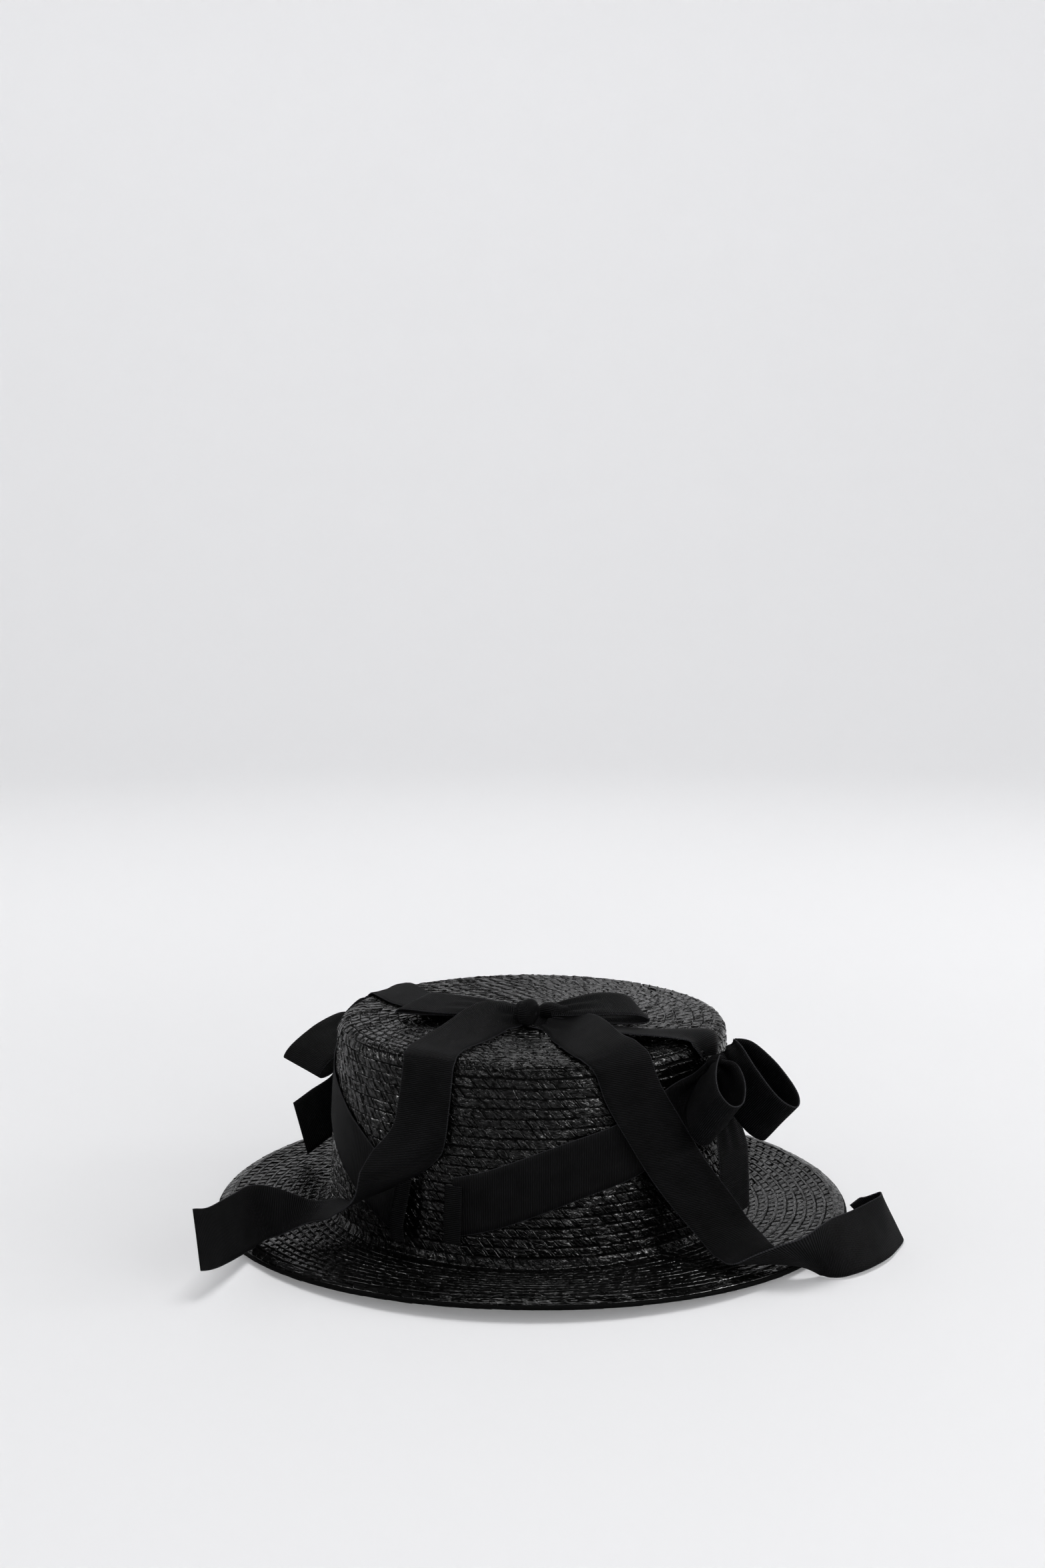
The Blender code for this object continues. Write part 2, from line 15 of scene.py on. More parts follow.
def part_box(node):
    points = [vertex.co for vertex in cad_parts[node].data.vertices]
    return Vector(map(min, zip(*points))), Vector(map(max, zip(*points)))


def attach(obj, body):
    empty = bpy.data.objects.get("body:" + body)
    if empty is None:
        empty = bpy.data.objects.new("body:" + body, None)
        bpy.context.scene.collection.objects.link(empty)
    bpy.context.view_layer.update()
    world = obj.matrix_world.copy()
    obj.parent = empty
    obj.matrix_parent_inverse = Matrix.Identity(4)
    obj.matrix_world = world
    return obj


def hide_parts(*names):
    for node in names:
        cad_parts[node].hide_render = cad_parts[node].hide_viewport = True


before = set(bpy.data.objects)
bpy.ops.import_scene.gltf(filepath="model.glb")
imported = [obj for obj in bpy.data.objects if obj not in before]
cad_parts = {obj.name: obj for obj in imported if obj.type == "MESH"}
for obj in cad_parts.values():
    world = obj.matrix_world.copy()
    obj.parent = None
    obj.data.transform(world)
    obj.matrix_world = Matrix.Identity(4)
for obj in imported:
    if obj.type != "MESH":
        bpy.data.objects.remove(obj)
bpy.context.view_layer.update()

# Photographer's table
# A seamless pale sweep of coated paper, under a large soft light overhead.
# The camera stands low in front of the hat, a little to its left side.
crown_low, crown_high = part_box("crown")
HAT_MIDDLE = Vector(((crown_low.x + crown_high.x) / 2, (crown_low.y + crown_high.y) / 2, 0.0))

CAMERA_AZIMUTH = 31.0
CAMERA_DISTANCE = 0.8670
CAMERA_HEIGHT = 0.2987
CAMERA_ASIDE = 0.0043
CAMERA_PITCH = 0.1199
CAMERA_LENS = 44.34
FILM_HEIGHT = 36.0

SWEEP_REACH = 3.0
SWEEP_COVE = 1.2
SWEEP_TOP = 1.6
SWEEP_SIDES = 96
SWEEP_MERGE = 0.0001
COVE_STEP = 10
SWEEP_AIM_HEIGHT = 1.3
SWEEP_LAMP_STEP = 60
WORLD_LIGHT = 0.20
PRINT_GAMMA = 0.85


def light_value(channel):
    """One sRGB channel, 0 to 1, as linear light."""
    if channel <= 0.04045:
        return channel / 12.92
    return ((channel + 0.055) / 1.055) ** 2.4


def hex_colour(code):
    """A linear colour from an sRGB hex value."""
    return tuple(light_value(int(code[place:place + 2], 16) / 255) for place in (1, 3, 5)) + (1.0,)


def join(tree, node, links):
    """Links a node's inputs to other nodes' outputs, or sets them to values."""
    for name, value in links.items():
        if isinstance(value, bpy.types.NodeSocket):
            tree.links.new(value, node.inputs[name])
        else:
            node.inputs[name].default_value = value


def add_node(tree, kind, settings, links):
    """One shader node with its settings, and with its inputs linked or set."""
    node = tree.nodes.new(kind)
    for name, value in settings.items():
        setattr(node, name, value)
    join(tree, node, links)
    return node


def new_material(name):
    """A node material, its tree and its shader."""
    material = bpy.data.materials.new(name)
    material.use_nodes = True
    tree = material.node_tree
    return material, tree, tree.nodes["Principled BSDF"]


def show(name, mesh, material):
    """Links a finished mesh into the scene as an object with one material."""
    mesh.materials.append(material)
    item = bpy.data.objects.new(name, mesh)
    bpy.context.scene.collection.objects.link(item)
    return item


# Coated paper: pale and even, with hardly a gleam
coated_paper, tree, shader = new_material("coated paper")
join(tree, shader, {"Base Color": hex_colour("#F1F1F2"), "Roughness": 0.9, "Specular IOR Level": 0.05})

mesh = bpy.data.meshes.new("sweep")
shape = bmesh.new()
path = [shape.verts.new((0.0, 0.0, 0.0)), shape.verts.new((SWEEP_REACH - SWEEP_COVE, 0.0, 0.0))]
for turn in range(COVE_STEP, 91, COVE_STEP):
    angle = math.radians(turn)
    path.append(shape.verts.new((SWEEP_REACH - SWEEP_COVE + SWEEP_COVE * math.sin(angle), 0.0,
                                 SWEEP_COVE * (1.0 - math.cos(angle)))))
path.append(shape.verts.new((SWEEP_REACH, 0.0, SWEEP_TOP)))
for first, second in zip(path, path[1:]):
    shape.edges.new((first, second))
bmesh.ops.spin(shape, geom=shape.verts[:] + shape.edges[:], cent=(0, 0, 0), axis=(0, 0, 1),
               angle=math.tau, steps=SWEEP_SIDES, use_merge=True, use_duplicate=False)
bmesh.ops.remove_doubles(shape, verts=shape.verts, dist=SWEEP_MERGE)
bmesh.ops.recalc_face_normals(shape, faces=shape.faces)
bmesh.ops.reverse_faces(shape, faces=shape.faces)
shape.to_mesh(mesh)
shape.free()
mesh.shade_smooth()
sweep = show("sweep", mesh, coated_paper)

turn = math.radians(CAMERA_AZIMUTH)
aside = Vector((math.cos(turn), math.sin(turn), 0.0))
ahead = Vector((-math.sin(turn), math.cos(turn), 0.0))
lens = bpy.data.cameras.new("camera")
lens.sensor_fit = "VERTICAL"
lens.sensor_height = FILM_HEIGHT
lens.lens = CAMERA_LENS
camera = bpy.data.objects.new("camera", lens)
camera.location = HAT_MIDDLE - aside * CAMERA_ASIDE - ahead * CAMERA_DISTANCE
camera.location.z = CAMERA_HEIGHT
camera.rotation_euler = (math.pi / 2 - CAMERA_PITCH, 0.0, turn)
bpy.context.scene.collection.objects.link(camera)
bpy.context.scene.camera = camera

Lamp = namedtuple("Lamp", "name azimuth distance height wide tall power fills")
LAMPS = (
    Lamp("overhead softbox", 195, 0.30, 2.20, 1.20, 1.20, 19.0, True),
    Lamp("back softbox", 205, 1.70, 1.15, 1.10, 0.40, 3.5, False),
    Lamp("back right softbox", 130, 1.60, 0.80, 0.60, 0.60, 3.0, True),
    Lamp("left fill", -60, 1.50, 0.80, 0.90, 0.90, 0.8, True),
    Lamp("right fill", 75, 1.50, 0.80, 0.90, 0.90, 2.4, True),
    Lamp("low right fill", 62, 1.40, 0.30, 0.90, 0.30, 2.2, True),
    Lamp("far left strip", -70, 1.40, 0.62, 0.50, 0.16, 6.0, False),
    Lamp("left strip", -35, 1.40, 0.66, 0.50, 0.16, 4.5, False),
    Lamp("front left strip", 0, 1.40, 0.60, 0.50, 0.16, 4.5, False),
    Lamp("front strip", 38, 1.50, 0.66, 0.50, 0.16, 4.0, False),
    Lamp("front right strip", 68, 1.40, 0.62, 0.50, 0.18, 9.5, False),
    Lamp("right strip", 98, 1.40, 0.62, 0.50, 0.18, 16.0, False),
)
SWEEP_LAMP = Lamp("sweep lamp", 0, 0.60, 2.30, 0.60, 0.60, 16.2, True)


def place_round(azimuth, distance, height):
    """A point at an azimuth, a distance and a height round the hat."""
    turn = math.radians(azimuth)
    return Vector((distance * math.sin(turn), -distance * math.cos(turn), height))


def hang(lamp, aim):
    """Hangs a lamp that the camera doesn't see, turned to its aim."""
    area = bpy.data.lights.new(lamp.name, "AREA")
    area.shape = "RECTANGLE"
    area.size = lamp.wide
    area.size_y = lamp.tall
    area.energy = lamp.power
    item = bpy.data.objects.new(lamp.name, area)
    item.visible_camera = False
    # The strips stand for the studio's bright panes: they only glint in the lacquer
    item.visible_diffuse = lamp.fills
    item.location = place_round(lamp.azimuth, lamp.distance, lamp.height)
    item.rotation_euler = (aim - item.location).to_track_quat("-Z", "Y").to_euler()
    bpy.context.scene.collection.objects.link(item)
    return area


for lamp in LAMPS:
    hang(lamp, Vector((0.0, 0.0, 0.0)))
for turned in range(0, 360, SWEEP_LAMP_STEP):
    azimuth = CAMERA_AZIMUTH + turned
    area = hang(SWEEP_LAMP._replace(azimuth=azimuth), place_round(azimuth, SWEEP_REACH, SWEEP_AIM_HEIGHT))
    area.use_shadow = False

surroundings = bpy.data.worlds.new("surroundings")
surroundings.use_nodes = True
join(surroundings.node_tree, surroundings.node_tree.nodes["Background"],
     {"Color": hex_colour("#E8E9EC"), "Strength": WORLD_LIGHT})
bpy.context.scene.world = surroundings
bpy.context.scene.view_settings.view_transform = "Standard"
bpy.context.scene.view_settings.gamma = PRINT_GAMMA

# Plaited straw, black
# Flat split straws are plaited into a braid about 4.5 mm wide, which is sewn
# row over row from the middle of the tip outwards, then stiffened and lacquered.
WALL_THICKNESS = 0.0016
BRIM_RADIUS = 0.1445
BRIM_INNER_TOP = 0.0024
BRIM_EDGE_TOP = 0.0026
BRIM_DROOP_START = 0.1392
BRIM_DROOP_TOP = 0.0040
BRIM_LIFT = 0.0045
BRIM_LIFT_AZIMUTH = 28.0
BRIM_LIFT_SPREAD = 80.0
FLARE_REACH = 0.0062
FLARE_TOP = 0.0064
FOOT_HEIGHT = 0.0140
BASE_RADIUS = 0.0928
TIP_RADIUS = 0.0888
CROWN_HEIGHT = 0.0880
SHOULDER_RADIUS = 0.0060
TIP_RISE = 0.0012
BRIDGE_REACH = 0.0105
BRIDGE_TOP = 0.0078
FLAT_RADIUS = TIP_RADIUS - SHOULDER_RADIUS
SHOULDER_TOP = CROWN_HEIGHT - SHOULDER_RADIUS
WALL_SLOPE = (TIP_RADIUS - BASE_RADIUS) / (SHOULDER_TOP - FOOT_HEIGHT)

BRAID_CELL = 0.0055
SHELL_DEPTH = 0.0008
SHELL_WALL = 0.0003
SEAM_WIDTH = 0.0004
BRIM_SHELL_DEPTH = 0.00065
SHELL_SIDES = 144
MERGE = 0.00001
TIP_RINGS = 10
BRIM_RINGS = 8
ARC_STEP = 7.5
INSIDE_ARC_STEP = 15
EDGE_ARC_STEP = 20
UNDER_EDGE = 0.004
NORMAL_REACH = 0.0012


def wall_radius(height):
    """Radius of the crown's outside at a height."""
    return BASE_RADIUS + WALL_SLOPE * (height - FOOT_HEIGHT)


def tip_height(radius):
    """Height of the tip's slight dome."""
    share = min(radius / FLAT_RADIUS, 1.0)
    return CROWN_HEIGHT + TIP_RISE * (1.0 - share ** 2)


def brim_lift(radius, azimuth):
    """How far the brim's front rises off the table, most at its edge."""
    away = (azimuth - BRIM_LIFT_AZIMUTH + 180.0) % 360.0 - 180.0
    if abs(away) >= BRIM_LIFT_SPREAD:
        return 0.0
    side = math.cos(math.radians(90.0 * away / BRIM_LIFT_SPREAD)) ** 2
    reach = (radius - BASE_RADIUS) / (BRIM_DROOP_START - BASE_RADIUS)
    reach = max(0.0, min(1.0, reach))
    return BRIM_LIFT * side * (3.0 - 2.0 * reach) * reach ** 2


def brim_height(radius, azimuth):
    """Height a ribbon is laid at over the brim, bridging the hollow at the crown's foot."""
    inner = BASE_RADIUS + BRIDGE_REACH
    if radius < inner:
        turn = math.acos(max(0.0, min(1.0, (inner - radius) / BRIDGE_REACH)))
        height = BRIDGE_TOP + (FOOT_HEIGHT - BRIDGE_TOP) * (1.0 - math.sin(turn))
    else:
        share = (radius - inner) / (BRIM_RADIUS - inner)
        height = BRIDGE_TOP + (BRIM_EDGE_TOP - BRIDGE_TOP) * min(share, 1.0)
    return height + brim_lift(radius, azimuth)


def arc(middle_radius, middle_height, reach, rise, start, stop, step):
    """Points of a rounded stretch of an outline, in (radius, height), turned in degrees."""
    points = []
    count = max(1, round(abs(stop - start) / step))
    for index in range(count + 1):
        angle = math.radians(start + (stop - start) * index / count)
        points.append((middle_radius + reach * math.sin(angle), middle_height + rise * math.cos(angle)))
    return points


WALL_END = wall_radius(FLARE_TOP)
FLARE_END = WALL_END + FLARE_REACH
FLARE_DROP = FLARE_TOP - BRIM_INNER_TOP
EDGE_HALF = BRIM_EDGE_TOP / 2

tip_rings = [FLAT_RADIUS * ring / TIP_RINGS for ring in range(TIP_RINGS)]
crown_outside = [(radius, tip_height(radius)) for radius in tip_rings]
crown_outside += arc(FLAT_RADIUS, SHOULDER_TOP, SHOULDER_RADIUS, SHOULDER_RADIUS, 0, 90, ARC_STEP)
crown_outside.append((WALL_END, FLARE_TOP))

brim_outside = arc(FLARE_END, FLARE_TOP, FLARE_REACH, FLARE_DROP, 270, 180, ARC_STEP)
flare_points = len(brim_outside)
brim_flat = BRIM_DROOP_START - FLARE_END
brim_outside += [(FLARE_END + brim_flat * ring / BRIM_RINGS,
                  BRIM_INNER_TOP + (BRIM_DROOP_TOP - BRIM_INNER_TOP) * ring / BRIM_RINGS)
                 for ring in range(1, BRIM_RINGS + 1)]
brim_outside += arc(BRIM_RADIUS - EDGE_HALF, EDGE_HALF, EDGE_HALF, EDGE_HALF,
                    EDGE_ARC_STEP, 180, EDGE_ARC_STEP)
UNDER_DROP = FLARE_DROP + WALL_THICKNESS
UNDER_START = BRIM_RADIUS - EDGE_HALF - UNDER_EDGE
under_flat = UNDER_START - FLARE_END
brim_under = [(UNDER_START - under_flat * ring / BRIM_RINGS,
               (FLARE_TOP - UNDER_DROP) * ring / BRIM_RINGS) for ring in range(BRIM_RINGS)]
brim_under += arc(FLARE_END, FLARE_TOP, FLARE_REACH + WALL_THICKNESS, UNDER_DROP, 180, 270, ARC_STEP)

crown_inside = [(WALL_END - WALL_THICKNESS, FLARE_TOP)]
crown_inside += arc(FLAT_RADIUS, SHOULDER_TOP, SHOULDER_RADIUS - WALL_THICKNESS,
                    SHOULDER_RADIUS - WALL_THICKNESS, 90, 0, INSIDE_ARC_STEP)
crown_inside += [(radius, tip_height(radius) - WALL_THICKNESS) for radius in reversed(tip_rings)]


class Outline:
    """A profile walked by its length, which gives places on the turned surface."""

    def __init__(self, points):
        self.points = np.array(points)
        steps = np.linalg.norm(np.diff(self.points, axis=0), axis=1)
        self.walked = np.concatenate(([0.0], np.cumsum(steps)))
        self.length = self.walked[-1]

    def spot(self, walk):
        """Radius and height at a walked length."""
        return (np.interp(walk, self.walked, self.points[:, 0]),
                np.interp(walk, self.walked, self.points[:, 1]))

    def at(self, walk):
        """Radius, height and the outward normal's two parts at a walked length."""
        radius, height = self.spot(walk)
        ahead_radius, ahead_height = self.spot(walk + NORMAL_REACH)
        behind_radius, behind_height = self.spot(walk - NORMAL_REACH)
        run_radius = ahead_radius - behind_radius
        run_height = ahead_height - behind_height
        size = np.hypot(run_radius, run_height) + 1e-12
        return radius, height, -run_height / size, run_radius / size


def turned_shell(name, points, material):
    """A thin closed shell turned about the hat's axis from a closed outline."""
    mesh = bpy.data.meshes.new(name)
    shape = bmesh.new()
    corners = [shape.verts.new((radius, 0.0, height)) for radius, height in points]
    for first, second in zip(corners, corners[1:] + corners[:1]):
        shape.edges.new((first, second))
    bmesh.ops.spin(shape, geom=shape.verts[:] + shape.edges[:], cent=(0, 0, 0), axis=(0, 0, 1),
                   angle=math.tau, steps=SHELL_SIDES, use_merge=True, use_duplicate=False)
    bmesh.ops.remove_doubles(shape, verts=shape.verts, dist=MERGE)
    bmesh.ops.dissolve_degenerate(shape, dist=MERGE, edges=shape.edges)
    bmesh.ops.recalc_face_normals(shape, faces=shape.faces)
    for vertex in shape.verts:
        radius = math.hypot(vertex.co.x, vertex.co.y)
        vertex.co.z += brim_lift(radius, math.degrees(math.atan2(vertex.co.x, -vertex.co.y)))
    bmesh.ops.translate(shape, verts=shape.verts, vec=HAT_MIDDLE)
    shape.to_mesh(mesh)
    shape.free()
    mesh.shade_smooth()
    return show(name, mesh, material)


# Dyed straw, unlacquered where it is covered: dull and nearly black
covered_straw, tree, shader = new_material("covered black straw")
join(tree, shader, {"Base Color": hex_colour("#050505"), "Roughness": 0.7, "Specular IOR Level": 0.05})

# Lacquered straw: a black varnish over long fibres, which glints along each
# straw. A straw's own map is in metres, and so are the sizes across and along
# it of a fibre, a dent pressed in by plaiting and a patch of thicker varnish.
FIBRE_SIZE = (0.0003125, 0.0038462)
DENT_SIZE = (0.0011111, 0.0016129)
PATCH_SIZE = (0.0012500, 0.0020000)
FIBRE_RELIEF = 0.0001
DENT_RELIEF = 0.0005
lacquered_straw, tree, shader = new_material("black lacquered straw")
laid = add_node(tree, "ShaderNodeUVMap", {"uv_map": "UVMap"}, {})
noises = {}
for name, size, detail, roughness, start in (
        ("fibres", FIBRE_SIZE, 3.0, 0.6, (0.0, 0.0, 0.0)),
        ("dents", DENT_SIZE, 2.0, 0.5, (0.0, 0.0, 0.0)),
        ("patches", PATCH_SIZE, 2.0, 0.5, (3.0, 7.0, 0.0))):
    stretch = add_node(tree, "ShaderNodeMapping", {},
                       {"Vector": laid.outputs["UV"], "Location": start,
                        "Scale": (1.0 / size[0], 1.0 / size[1], 1.0)})
    noises[name] = add_node(tree, "ShaderNodeTexNoise", {},
                            {"Vector": stretch.outputs["Vector"], "Scale": 1.0, "Detail": detail,
                             "Roughness": roughness}).outputs["Fac"]
tone = add_node(tree, "ShaderNodeMix", {"data_type": "RGBA"},
                {"Factor": noises["fibres"], "A": hex_colour("#030303"), "B": hex_colour("#0B0B0A")})
gloss = add_node(tree, "ShaderNodeMapRange", {}, {"Value": noises["dents"], "From Min": 0.3,
                                                  "From Max": 0.7, "To Min": 0.05, "To Max": 0.24})
lacquer = add_node(tree, "ShaderNodeMapRange", {}, {"Value": noises["patches"], "From Min": 0.36,
                                                    "From Max": 0.6, "To Min": 0.05, "To Max": 0.34})
coarse_bump = add_node(tree, "ShaderNodeBump", {}, {"Height": noises["dents"], "Strength": 1.0,
                                                    "Distance": DENT_RELIEF})
fine_bump = add_node(tree, "ShaderNodeBump", {}, {"Height": noises["fibres"], "Strength": 0.4,
                                                  "Distance": FIBRE_RELIEF,
                                                  "Normal": coarse_bump.outputs["Normal"]})
join(tree, shader, {"Base Color": tone.outputs["Result"], "Roughness": gloss.outputs["Result"],
                    "Specular IOR Level": lacquer.outputs["Result"], "Normal": fine_bump.outputs["Normal"]})

# Layout of the plait, cell by cell, in shares of a cell's length and of a row's
# width, with heights in millimetres off the hat's outside. Each straw lies
# between left and right, from top to bottom, and leans with the plait; it
# rises by roll from its left side to its right, and is rounded by crown.
Straw = namedtuple("Straw", "left right top bottom lean height roll crown columns ranks")
PLAIT = (
    (Straw(-0.10, 0.78, 0.00, 1.00, 0.60, -0.14, 0.14, 0.06, 7, 6),
     Straw(0.74, 1.00, 0.00, 1.00, 0.60, -0.45, 0.10, 0.04, 3, 4),
     Straw(0.86, 0.99, 0.10, 0.80, 0.64, 0.00, 0.06, 0.12, 4, 4)),
    (Straw(-0.10, 0.74, 0.00, 1.00, 0.58, -0.16, 0.18, 0.08, 7, 6),
     Straw(0.70, 1.00, 0.00, 1.00, 0.58, -0.45, 0.10, 0.04, 3, 4),
     Straw(0.86, 0.99, 0.04, 0.70, 0.64, 0.02, 0.00, 0.12, 4, 4)),
    (Straw(-0.10, 0.43, 0.00, 1.00, 0.60, -0.16, 0.12, 0.08, 5, 6),
     Straw(0.40, 0.58, 0.00, 1.00, 0.60, -0.45, 0.10, 0.04, 3, 4),
     Straw(0.54, 1.00, 0.00, 1.00, 0.58, -0.18, 0.16, 0.06, 5, 6),
     Straw(0.84, 0.99, 0.24, 0.92, 0.62, 0.00, 0.06, 0.12, 4, 4)),
    (Straw(-0.10, 1.02, 0.00, 0.72, 0.60, -0.12, 0.14, 0.05, 7, 5),
     Straw(-0.10, 1.02, 0.66, 1.00, 0.60, -0.22, 0.10, 0.05, 7, 4),
     Straw(0.80, 0.95, 0.18, 0.98, 0.58, -0.01, 0.00, 0.14, 4, 4)),
    (Straw(-0.10, 0.76, 0.00, 1.00, 0.62, -0.14, 0.12, 0.08, 7, 6),
     Straw(0.72, 1.00, 0.00, 1.00, 0.62, -0.48, 0.10, 0.04, 3, 4)),
)
# On the brim a firmer outer ridge runs on from cell to cell, beside small deep openings
BRIM_PLAIT = (
    (Straw(-0.14, 1.00, 0.68, 1.00, 0.60, -0.08, 0.04, 0.16, 7, 5),
     Straw(-0.06, 0.64, 0.00, 0.74, 0.60, -0.16, 0.10, 0.05, 7, 5),
     Straw(0.60, 0.98, 0.00, 0.72, 0.60, -0.55, 0.08, 0.04, 3, 4)),
    (Straw(-0.14, 1.00, 0.72, 1.00, 0.60, -0.08, 0.04, 0.14, 7, 5),
     Straw(-0.06, 0.74, 0.00, 0.76, 0.60, -0.14, 0.06, 0.05, 7, 5),
     Straw(0.70, 0.98, 0.06, 0.72, 0.60, -0.55, 0.08, 0.04, 3, 4)),
    (Straw(-0.14, 1.00, 0.66, 1.00, 0.60, -0.08, 0.04, 0.16, 7, 5),
     Straw(-0.06, 0.70, 0.00, 0.70, 0.60, -0.16, 0.12, 0.05, 7, 5),
     Straw(0.66, 0.98, 0.00, 0.68, 0.60, -0.55, 0.08, 0.04, 3, 4)),
)
EDGE_PLAIT = ((Straw(-0.12, 1.00, 0.00, 0.50, 0.60, -0.12, 0.04, 0.02, 7, 4),
               Straw(-0.12, 1.00, 0.46, 1.00, 0.60, -0.13, 0.04, 0.02, 7, 4)),)
CORD_PLAIT = ((Straw(-0.10, 1.00, 0.00, 1.00, 0.90, -0.16, 0.08, 0.10, 5, 7),),)
HIDDEN_PLAIT = ((Straw(-0.05, 1.00, 0.00, 1.00, 0.58, -0.35, 0.30, 0.10, 3, 4),),)

# The row's own section from its sewn edge to its outer one: it lies like a shingle
ROW_PLACE = (0.00, 0.03, 0.16, 0.82, 0.95, 1.00)
ROW_HEIGHT = (-0.60, -0.20, -0.12, -0.06, 0.06, -0.50)
SKIRT = -0.85
# A wide straw's sides turn down within the first share, and its face starts at the second
SIDE_TURN = 0.03
FACE_START = 0.08


def laid_straws(cells):
    """A stretch of plait laid out flat, one unit to a cell, and each vertex's straw and place."""
    mesh = bpy.data.meshes.new("plait")
    shape = bmesh.new()
    shape.loops.layers.uv.new("UVMap")
    owners = []
    places = []
    straw_count = 0
    for index, straws in enumerate(cells):
        for straw in straws:
            grid = bmesh.ops.create_grid(shape, x_segments=straw.columns, y_segments=straw.ranks,
                                         size=0.5, calc_uvs=True)
            for vertex in grid["verts"]:
                # Closer lines of vertices where the straw's sides turn down, sharply on a wide one
                across = 0.5 - 0.5 * math.cos(math.pi * (vertex.co.x + 0.5))
                if straw.columns > 4:
                    step = round((vertex.co.x + 0.5) * straw.columns)
                    inner = FACE_START + (1.0 - 2.0 * FACE_START) * (step - 2) / (straw.columns - 4)
                    turned = {0: 0.0, 1: SIDE_TURN, straw.columns - 1: 1.0 - SIDE_TURN, straw.columns: 1.0}
                    across = turned.get(step, inner)
                along = 0.5 - 0.5 * math.cos(math.pi * (vertex.co.y + 0.5))
                owners.append(straw_count)
                places.append((across, along))
                side = straw.left + (straw.right - straw.left) * across
                down = straw.top + (straw.bottom - straw.top) * along
                height = straw.height + straw.roll * (across - 0.5)
                height += straw.crown * (1.0 - (2.0 * across - 1.0) ** 2)
                height += float(np.interp(down, ROW_PLACE, ROW_HEIGHT))
                if across in (0.0, 1.0):
                    height = SKIRT
                vertex.co = (index + side + straw.lean * (down - 0.5), down, height)
            straw_count += 1
    # Grids face up, and the azimuth runs to the right with the row's foot towards the viewer
    bmesh.ops.reverse_faces(shape, faces=shape.faces)
    shape.to_mesh(mesh)
    shape.free()
    return mesh, np.array(owners), np.array(places), straw_count


# How much the straws stray from the layout: rise, roll, pitch and crumple in
# millimetres, shift in cells and slide in row widths. Vertices below LOOSE keep
# their height, and none stands above HIGHEST.
RISE_STRAY = 0.05
ROLL_STRAY = 0.11
PITCH_STRAY = 0.26
CRUMPLE_STRAY = 0.055
SHIFT_STRAY = 0.03
SLIDE_STRAY = 0.025
LOOSE = -0.8
HIGHEST = 0.22
# A sewn row waves a little, by shares of its width: slowly and quickly along its
# cells. Cells are counted round the row's middle, and one straw takes a piece of
# the straw's map of its own width and length.
SLOW_WAVE = 0.03
SLOW_PACE = 0.37
QUICK_WAVE = 0.02
QUICK_PACE = 0.9
ROW_MIDDLE = 0.6
STRAW_WIDTH = 0.0030
STRAW_LENGTH = 0.0045


